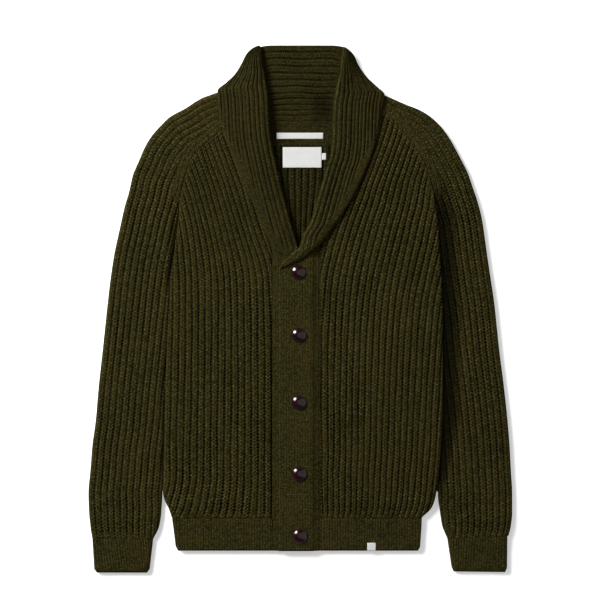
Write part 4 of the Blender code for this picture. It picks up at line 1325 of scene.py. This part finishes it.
# %% Build the back
def back_side(cloth, upper):
    """Upper or lower side of the back. Returns the loop of points round its edge."""
    coarse_y = levels(HEM_Y, BACK_FINE_Y, 18.0)
    y = np.concatenate([coarse_y, levels(BACK_FINE_Y, NECK_SEAM_Y, ROW_STEP)[1:]])[:, None]
    x = back_columns(y)

    def place(x, y, side_away):
        rib = (x - BACK_MIDDLE) / (BACK_RIB * (back_fan(y) if upper else 1.0)) + 0.5
        row = y / STITCH + 0 * x
        if not upper:
            return cloth.add(x, y, 0.0, rib, row)
        keep = rounded(side_away, 8.0)
        from_middle = np.abs(x - BACK_MIDDLE)
        shown = ease((y - BACK_FINE_Y) / 20.0) * ease((62.0 * back_fan(y) - from_middle) / 8.0)
        z = BACK_LOW + (BACK_TOP - BACK_LOW) * keep + knit(rib, row, 2.9, 0.9) * shown * keep
        # painted shade: the upper side, seen inside the neck, is 30 % darker
        return cloth.add(x, y, z, rib, row, 0.9, 0.3)

    main = place(x, y, np.minimum(x - x[:, :1], x[:, -1:] - x))
    cloth.skin(main)
    horns = []
    for neck, table, side in ((NECK_RIGHT, FRONT_RIGHT, -1), (NECK_LEFT, FRONT_LEFT, 1)):
        horn_x, horn_y = horn(neck, table, side)
        points = place(horn_x, horn_y, np.abs(horn_x - horn_x[:, :1]))
        seam = main[-1, ::-side][:SEAM_COLUMNS]
        horns.append(np.concatenate([seam[None, :], points]))
        cloth.skin(horns[-1])
    right, left = horns
    loop = [main[0], main[1:, -1], left[1:, 0], left[-1, 1:], left[-2::-1, -1]]
    loop += [main[-1, ::-1][SEAM_COLUMNS:1 - SEAM_COLUMNS], right[:, -1][1:], right[-1, ::-1][1:]]
    loop += [right[-2::-1, 0], main[-2::-1, 0]]
    return np.concatenate(loop)


def back():
    """The back panel."""
    cloth = Cloth()
    upper = back_side(cloth, True)
    lower = back_side(cloth, False)
    cloth.strip(upper, lower)
    piece = chunky(cloth, "back")
    y = levels(HEM_Y, NECK_SEAM_Y, 5.0)
    width = read(FRONT_LEFT, "outer", y) - read(FRONT_RIGHT, "outer", y)
    length = NECK_LEFT[-1][0] - HEM_Y
    declare(piece, float(width.max()), length, covered(width, y) + HORN_AREA)


back()

# %% [markdown]
# ## The lapels
#
# The shawl collar is a long ribbed strip that goes on from the front bands and folds over along
# its roll. Each lapel is therefore a bent sheet: a lower leg that is sewn to the neck edge, a
# round turn, and an upper leg whose free edge lies on the front. Its ribs run along the roll,
# close together near it, and the last part by the free edge is a plain fine knit.

# %% Sizes of the lapels
LAPEL_STITCH = 3.6
ROLL = 5.3  # radius of the folded edge
LAPEL_FULL = 74.0  # width at which the ribs keep their own places
TAIL_Y = 114.0  # below it the left lapel narrows to its rolled tip
PLAIN_EDGE = 15.0  # width of the plain part beside the free edge
LAPEL_COLUMNS = 6
LAPEL_FADE = {"lapel_right": 76.0, "lapel_left": 56.0}  # heights where the ribs begin
MAIN = LAPEL_GROOVES + (83.8, 94.7)
SPLIT = [(MAIN[i] + MAIN[i + 1]) / 2 for i in range(3, len(MAIN) - 1)]  # halves the broad ribs
SPLIT_STRENGTH = 0.55  # depth of a halving groove
LAPEL_PLACES = (0.0,) + tuple(sorted(MAIN + tuple(SPLIT)))
LAPEL_RIBS = (0.5,) + tuple(range(1, len(LAPEL_PLACES)))
LAPEL_STRENGTH = np.array([SPLIT_STRENGTH if place in SPLIT else 1.0 for place in LAPEL_PLACES])


# %% Build the lapels
def lapel(name, table):
    """One lapel, as rows across it from the roll to the free edge and back below."""
    side = math.copysign(1.0, table[-1].edge - table[-1].roll)
    y = levels(table[0].y, table[-1].y, ROW_STEP)[:, None]
    roll, edge, under, rise, slot, rest, high, wall = (
        read(table, label, y) for label in Lapel._fields[1:])
    full = (edge - roll) * side
    slope = np.clip(np.gradient(roll[:, 0], y[:, 0]) * side, 0.0, 1.1) * side
    slope = averaged(slope, 25)[:, None]
    tilt = 1 / np.sqrt(1 + slope ** 2)
    turn = np.minimum(ROLL / tilt, 0.45 * full)
    leg = np.maximum((under - roll) * side, turn + 0.3)
    floor_z = FRONT_BASE + rise
    at_roll = floor_z + wall + slot
    run = np.concatenate([[0.0], np.cumsum(np.diff(y[:, 0]) / tilt[1:, 0])])[:, None]
    columns = np.arange(LAPEL_COLUMNS / 2, LAPEL_RIBS[-1] * LAPEL_COLUMNS + 0.5) / LAPEL_COLUMNS
    places = np.interp(columns, LAPEL_RIBS, LAPEL_PLACES)[None, :]
    drawn = 1 - (1 - np.clip(full * tilt / LAPEL_FULL, 0.25, 1.0) ** 0.8) * ease((y - 300.0) / 40.0)
    away, use = trimmed(places * drawn / tilt, turn, full)
    tail = ease((TAIL_Y - y) / 24.0) * (side > 0)  # 1 where the left lapel ends in a rolled tip

    def marks(distance):
        rib = np.interp(distance * tilt / drawn, LAPEL_PLACES, LAPEL_RIBS)
        return rib, (run + side * distance * slope * tilt) / LAPEL_STITCH

    def put(distance, z, depth=1.0, mirror=False):
        rib, row = marks(distance)
        rib = 1 - rib if mirror else rib
        # painted shade makes a lapel 8 % darker, and painted light makes the left lapel's rolled tip
        # up to 8 % lighter
        return cloth.add(roll + side * distance, y, z, rib, row, depth, 0.08 - 0.16 * tail)

    def underside(distance):
        return at_roll + (rest - at_roll) * np.clip(distance / full, 0.0, 1.0) ** (2 + 4 * tail)

    cloth = Cloth()
    rib, row = marks(away)
    from_edge = (full - away) * tilt
    plain = 1.5 + (PLAIN_EDGE - 1.5) * (1 - ease((y - 225.0) / 55.0)) * (1 - 0.8 * tail)
    strength = LAPEL_STRENGTH[np.clip(np.round(rib).astype(int), 0, len(LAPEL_STRENGTH) - 1)]
    depth = ease((y - LAPEL_FADE[name]) / 30.0) * ease((from_edge - plain + 4.0) / 4.0) * strength
    depth = depth * (1 - 0.5 * tail) * uneven(rib, run)
    z = underside(away) + wall + high * (0.5 + 0.5 * depth) + 0.1
    z = z + knit(rib, row, 2.7, 0.7) * depth + ripple(roll + side * away, y, 0.3) * (high > 0.8)
    low = underside(away) + np.minimum(1.2, 0.8 * wall)
    z = np.maximum(z, low)
    z = low + (z - low) * rounded(from_edge, 6.0)
    top = np.take_along_axis(put(away, z, depth), use, 1)
    first_z = np.take_along_axis(z, use[:, :1], 1)
    first_depth = np.take_along_axis(depth, use[:, :1], 1)
    middle = (first_z + floor_z) / 2
    half = (first_z - floor_z) / 2
    lower_turn = np.radians(np.linspace(-90.0, -9.0, 6))[None, :]
    upper_turn = np.radians(np.linspace(9.0, 76.0, 5))[None, :]

    def bend(angle, mirror):
        z = middle + half * np.sin(angle)
        return put(turn * (1 - np.cos(angle)), z, first_depth, mirror)

    bend_low = bend(lower_turn, True)
    bend_high = bend(upper_turn, False)
    edge_wall = put(full, underside(full) + 0.3)
    back_way = np.linspace(1.0, 0.0, 8)[None, :]
    below = turn + (full - 1.0 * (full > 4) - turn) * back_way
    inner = put(below, underside(below))
    pocket = put(turn * 0.62, (underside(turn) + floor_z + wall) / 2)
    leg_way = np.linspace(0.0, 1.0, 6)[None, :]
    over_leg = put(turn + (leg - turn) * leg_way, floor_z + wall)
    under_leg = put(leg + (turn - leg) * leg_way[:, :-1], floor_z)
    wrap(cloth, bend_low, bend_high, top, edge_wall, inner, pocket, over_leg, under_leg)
    piece = chunky(cloth, name)
    width = (full + leg)[:, 0] * tilt[:, 0] + 8.0
    area = covered(width, run[:, 0])
    declare(piece, float(width.max()), float(run[-1, 0]), area)


lapel("lapel_right", LAPEL_RIGHT)
lapel("lapel_left", LAPEL_LEFT)

# %% [markdown]
# ## The back of the collar
#
# Between the lapels the same strip stands up behind the neck, turns over at the top and falls
# down again behind. Laid flat, its inner face shows above the neck seam, with the ribs running
# across. It is built like a lapel, with its stations from one side of the neck to the other.

# %% Sizes of the stand
COLLAR_END_Y = 404.2  # where its flat part starts to turn over
COLLAR_REACH = 4.4
STAND_LOW_Y = 252.5
STAND_MIDDLE = 2.0
STAND_LEG_Y = 331.0  # where the lower leg ends
STAND_WIDTH = 132.0  # from side to side, about
STAND_STITCH = 2.9
STAND_RIBS = (0.5,) + tuple(range(1, 17))
STAND_PLACES = (COLLAR_END_Y,) + STAND_GROOVES + (291.0, 282.0, 273.0, 264.0, 254.0)


def stand_lift(y):
    """Height of the stand's underside: it slopes down to the neck seam."""
    return (SLEEVE_LOWER + 0.4) * ease((y - STAND_LOW_Y) / 71.0)


# %% Build the back of the collar
def collar_back():
    """The stand, its turn and its lower leg."""
    share = levels(0.0, 1.0, 0.9 / STAND_WIDTH)[:, None]
    columns = np.arange(0.5, 16.01, 1 / COLUMNS)
    heights = np.interp(columns, STAND_RIBS, STAND_PLACES)[None, ::-1]
    heights = np.concatenate([[[STAND_LOW_Y]], heights[:, 1:]], 1)

    def spot(y):
        right = read(STAND, "right_side", y)
        left = read(STAND, "left_side", y)
        x = right + (left - right) * share
        over = np.maximum(0.0, (np.abs(x - STAND_MIDDLE) - 44) / 22) ** 2
        bend = over * (2.6 + 4.4 * ease((COLLAR_END_Y - y) / 16.0)) * ease((y - 262.0) / 60.0)
        sway = np.sin(x / 17.0 + y / 23.0) + np.sin(x / 9.0 - y / 14.0 + 1.0) * 0.6
        return x, y - bend + 0.7 * sway * ease((COLLAR_END_Y - y) / 12.0) * ease((y - 262.0) / 20.0)

    def rib_at(y):
        return np.interp(-y, [-place for place in STAND_PLACES], STAND_RIBS)

    def put(y, z, rib=None, depth=1.0, out=0.0):
        x, bent = spot(y)
        rib = rib_at(y) if rib is None else rib
        # painted shade makes the whole stand 22 % darker; a patch near x 33, y 313 is up to 35 %
        # darker still
        dark = 0.22 + 0.35 * np.exp(-((x - 33) / 15) ** 4 - ((y - 313) / 26) ** 4)
        return cloth.add(x, bent + out, z, rib, x / STAND_STITCH, depth, dark)

    cloth = Cloth()
    x, _ = spot(heights)
    rib = rib_at(heights) + 0 * x
    strength = ease((66.0 - np.abs(x - STAND_MIDDLE)) / 12.0)
    strength = np.clip((heights - 268.0) / 50.0, 0.0, 1.0) * strength
    strength = strength * uneven(rib + 0.5, 2 * x) * uneven(2 * rib, 3 * x + 40)
    even = 1 - 0.8 * ease((heights - 396.0) / 6.0)
    top_z = stand_lift(heights) + WALL + 1.6 * strength
    top_z = top_z + knit(rib, x / STAND_STITCH, 2.8, 0.5 * even) * strength
    top_z = top_z - 0.8 * np.exp(-((rib - np.floor(rib) - 0.5) / 0.12) ** 2) * strength
    top_z = top_z + ripple(x, heights, 0.4) * strength
    from_side = (0.5 - np.abs(share - 0.5)) * STAND_WIDTH
    top_z = top_z + 2.1 * ease((5.5 - from_side) / 3.0) * ease((heights - 322.0) / 20.0)
    top = put(heights, top_z, depth=0.2 + 0.8 * strength)
    last_z = top_z[:, -1:]
    turn = np.radians(np.linspace(80.0, -80.0, 9))[None, :]
    middle = last_z / 2
    round_rib = 0.5 - 0.9 * np.linspace(0.1, 0.9, 9)[None, :]
    roll = put(np.full((1, 9), COLLAR_END_Y), middle + middle * np.sin(turn), round_rib, 0.25,
               COLLAR_REACH * np.cos(turn))
    leg_y = np.linspace(COLLAR_END_Y, STAND_LEG_Y, 6)[None, :]
    under_leg = put(leg_y, 0.0)
    over_leg = put(leg_y[:, ::-1], SLEEVE_LOWER)
    pocket = put(np.array([[COLLAR_END_Y]]), SLEEVE_LOWER + 0.2, 0.5, 1.0, 1.1)
    below_y = np.linspace(COLLAR_END_Y, STAND_LOW_Y, 10)[None, :]
    below = put(below_y, stand_lift(below_y))
    wrap(cloth, top, roll, under_leg, over_leg, pocket, below)
    piece = chunky(cloth, "collar_back")
    length = COLLAR_END_Y - STAND_LOW_Y + 73.0 + 10.0  # stand, lower leg and turn
    declare(piece, STAND[-1].left_side - STAND[-1].right_side, length, STAND_WIDTH * length)


collar_back()

# %% [markdown]
# ## The buttons
#
# Each button is a turned dome in a glossy dark burgundy. A lathe makes such a button from one
# profile, and so does this function: it turns a line of points round an axis.

# %% Build the buttons
BUTTON_BASE = 12.3
BUTTON_PROFILE = [
    (0, 5.6), (1.5, 5.53), (3, 5.3), (4.5, 4.92), (6, 4.4), (7.2, 3.87), (8.2, 3.35), (9.0, 2.88),
    (9.7, 2.4), (10.3, 1.95), (10.8, 1.5), (11, 1.25), (10.8, 1.15), (10, 1.1), (8, 0.7), (4, 0.1),
    (0, 0.1),
]
AROUND = 64


def gloss():
    """Glossy burgundy resin with slow darker clouds."""
    finish = Finish("burgundy_button", Roughness=0.16, Specular_IOR_Level=0.6)
    cloud = finish.noise(140.0)
    dark = (0.0070, 0.0006, 0.0013, 1.0)
    finish.paint(finish.blend(cloud.step(0.35, 0.7), dark, (0.0150, 0.0010, 0.0026, 1.0)))
    return finish.material


def button(name, x, y, material):
    """One turned button."""
    turn = np.linspace(0.0, 2 * math.pi, AROUND + 1)[:-1][:, None]
    radius, height = np.array(BUTTON_PROFILE[1:-1], float).T
    height = BUTTON_BASE + height
    cloth = Cloth()
    grid = cloth.add(x + radius * np.cos(turn), y + radius * np.sin(turn), height)
    cloth.skin(np.concatenate([grid, grid[:1]]))
    for ring, point in ((grid[:, 0], BUTTON_PROFILE[0]), (grid[:, -1], BUTTON_PROFILE[-1])):
        middle = cloth.add(x, y, BUTTON_BASE + point[1]).reshape(1)
        around = np.concatenate([ring, ring[:1]])
        cloth.skin(np.stack((around, np.repeat(middle, len(around)))))
    hand_over(cloth.make(name + "_turned"), name, material)


BURGUNDY = gloss()
for number, (button_x, button_y) in enumerate(zip(BUTTON_XS, BUTTON_YS), 1):
    button("button_" + str(number), button_x, button_y, BURGUNDY)

# %% [markdown]
# ## The labels
#
# The labels are pale woven tapes, left blank. A woven tape is a grid of threads, a little
# thicker where its ends are folded under and stitched down. They are thin, so each gets its
# folded ends in the mesh and its weave in the finish.

# %% Sizes and finish of the labels
Tape = namedtuple("Tape", "node slot low high base thick fold")
TAPES = table_rows(Tape, [
    ("size_tab", "label_tape", (33.4, 231.0), (40.1, 241.3), 4.8, 0.5, 0.0),
    ("neck_label", "label_tape", (-27.1, 218.9), (33.0, 250.6), 4.8, 0.6, 6.5),
    ("strip_label", "label_tape", (-36.7, 263.5), (35.3, 273.0), None, 0.5, 2.5),
    ("hem_tag", "tag_tape", (103.5, -373.5), (116.7, -361.5), 8.6, 0.5, 0.0),
])


TAPE_STEP = 0.9
THREADS = 1600.0  # to the metre


def woven():
    """Pale tape: fine threads across each other."""
    finish = Finish("woven_tape", Roughness=0.8, Specular_IOR_Level=0.2)
    split = finish.node("ShaderNodeSeparateXYZ", {}, {0: finish.place()}, "X")
    rise = finish.node("ShaderNodeSeparateXYZ", {}, {0: finish.place()}, "Y")
    weave = (split * THREADS).wave() * (rise * THREADS).wave()
    cloud = finish.noise(60.0, 3.0)
    pale = finish.blend(cloud, (0.61, 0.61, 0.585, 1.0), (0.69, 0.69, 0.67, 1.0))
    finish.paint(finish.shade(pale, 0.93 + weave * 0.1))
    finish.bump(weave + cloud * 0.5, 0.0002)
    return finish.material


# %% Build the labels
def tape(row, material):
    """One thin tape on what carries it."""
    x = levels(row.low[0], row.high[0], TAPE_STEP)[None, :]
    y = levels(row.low[1], row.high[1], TAPE_STEP)[:, None]
    base = row.base + 0 * (x + y) if row.base else stand_lift(y) + WALL + 0.5 + 0 * x
    side = np.minimum(np.minimum(x - x[:, :1], x[:, -1:] - x), np.minimum(y - y[:1], y[-1:] - y))
    top = base + row.thick * (0.5 + 0.5 * rounded(side, 1.0)) + ripple(x * 3, y * 3, 0.08)
    if row.fold:
        for middle in (row.low[0] + row.fold, row.high[0] - row.fold):
            top = top - 0.25 * np.exp(-((x - middle) / 0.7) ** 2) * (0.6 + 0.4 * np.cos(y * 2.6))
    cloth = Cloth()
    panel(cloth, cloth.add(x, y, top), cloth.add(x, y, base))
    piece = hand_over(cloth.make(row.node + "_tape"), row.node, material)
    width = row.high[0] - row.low[0]
    length = row.high[1] - row.low[1]
    if row.node != "size_tab":
        sewn_on = [pieces["size_tab"]] if row.node == "neck_label" else []
        declare(piece, width, max(length, 10.0), width * length)


WOVEN = woven()
for label in TAPES:
    tape(label, WOVEN)

# %% [markdown]
# ## A floor, a camera and soft light
#
# A flat lay is lit from the side with a large soft source, over a pale floor, with the camera
# straight above. Here a key light stands at the upper left, a wide panel at the right fills the
# shadows and shows in the buttons, and the sky is bright only near the horizon.

# %% Floor and camera
LENS = 85.0
SENSOR = 36.0
VIEW_SIDE = 928.0  # side of the square that the camera sees
VIEW_MIDDLE = (-0.5, 14.0)
LAY_HEIGHT = 8.0  # height at which that square is measured
FLOOR_SIDE = 6.0  # in metres
FLOOR_DROP = 0.4


def floor():
    """Pale floor just under the garment, lit a little from below like a light table."""
    mesh = bpy.data.meshes.new("floor")
    side, drop = FLOOR_SIDE / 2, FLOOR_DROP * MM
    corners = [(-side, -side), (side, -side), (side, side), (-side, side)]
    mesh.from_pydata([(x, y, -drop) for x, y in corners], [], [(0, 1, 2, 3)])
    piece = bpy.data.objects.new("floor", mesh)
    bpy.context.collection.objects.link(piece)
    finish = Finish("pale_floor", Roughness=0.85, Specular_IOR_Level=0.2,
                    Emission_Color=(1.0, 1.0, 1.0, 1.0), Emission_Strength=0.36)
    cloud = finish.noise(6.0, 3.0)
    finish.paint(finish.blend(cloud, (0.90, 0.90, 0.90, 1.0), (0.93, 0.93, 0.93, 1.0)))
    mesh.materials.append(finish.material)


def camera():
    """Camera straight above the garment, its top towards the collar."""
    data = bpy.data.cameras.new("camera")
    data.lens = LENS
    data.sensor_width = SENSOR
    data.clip_end = 20.0
    eye = bpy.data.objects.new("camera", data)
    distance = VIEW_SIDE * LENS / SENSOR + LAY_HEIGHT
    eye.location = (VIEW_MIDDLE[0] * MM, VIEW_MIDDLE[1] * MM, distance * MM)
    bpy.context.collection.objects.link(eye)
    bpy.context.scene.camera = eye
    print("camera height:", round(distance * MM, 3), "m")


floor()
camera()


# %% Lights
def panel_light(name, place, size, power):
    """Soft rectangular light that faces the middle of the garment."""
    data = bpy.data.lights.new(name, "AREA")
    data.shape = "RECTANGLE"
    data.size, data.size_y = size
    data.energy = power
    light = bpy.data.objects.new(name, data)
    light.location = place
    light.rotation_euler = (-Vector(place)).to_track_quat("-Z", "Y").to_euler()
    bpy.context.collection.objects.link(light)


SKY_STRENGTH = 0.16


def sky():
    """World that is bright near the horizon and dim overhead."""
    world = bpy.data.worlds.new("studio")
    bpy.context.scene.world = world
    world.use_nodes = True
    nodes = Nodes(world.node_tree)
    place = nodes.node("ShaderNodeTexCoord", {}, {}, "Generated")
    height = nodes.node("ShaderNodeSeparateXYZ", {}, {0: place}, "Z")
    stops = ((0.25, (1.0, 1.0, 1.0, 1.0)), (0.75, (0.30, 0.30, 0.30, 1.0)))
    light = nodes.node("ShaderNodeValToRGB", {}, {0: height}, stops=stops)
    background = world.node_tree.nodes["Background"]
    nodes.put(background.inputs["Color"], light)
    nodes.put(background.inputs["Strength"], SKY_STRENGTH)


panel_light("key", (-2.37, 1.78, 1.86), (1.35, 1.35), 244.0)
panel_light("side_panel", (2.2, -0.1, 2.2), (4.4, 12.0), 72.0)
sky()
bpy.context.scene.view_settings.view_transform = "Standard"
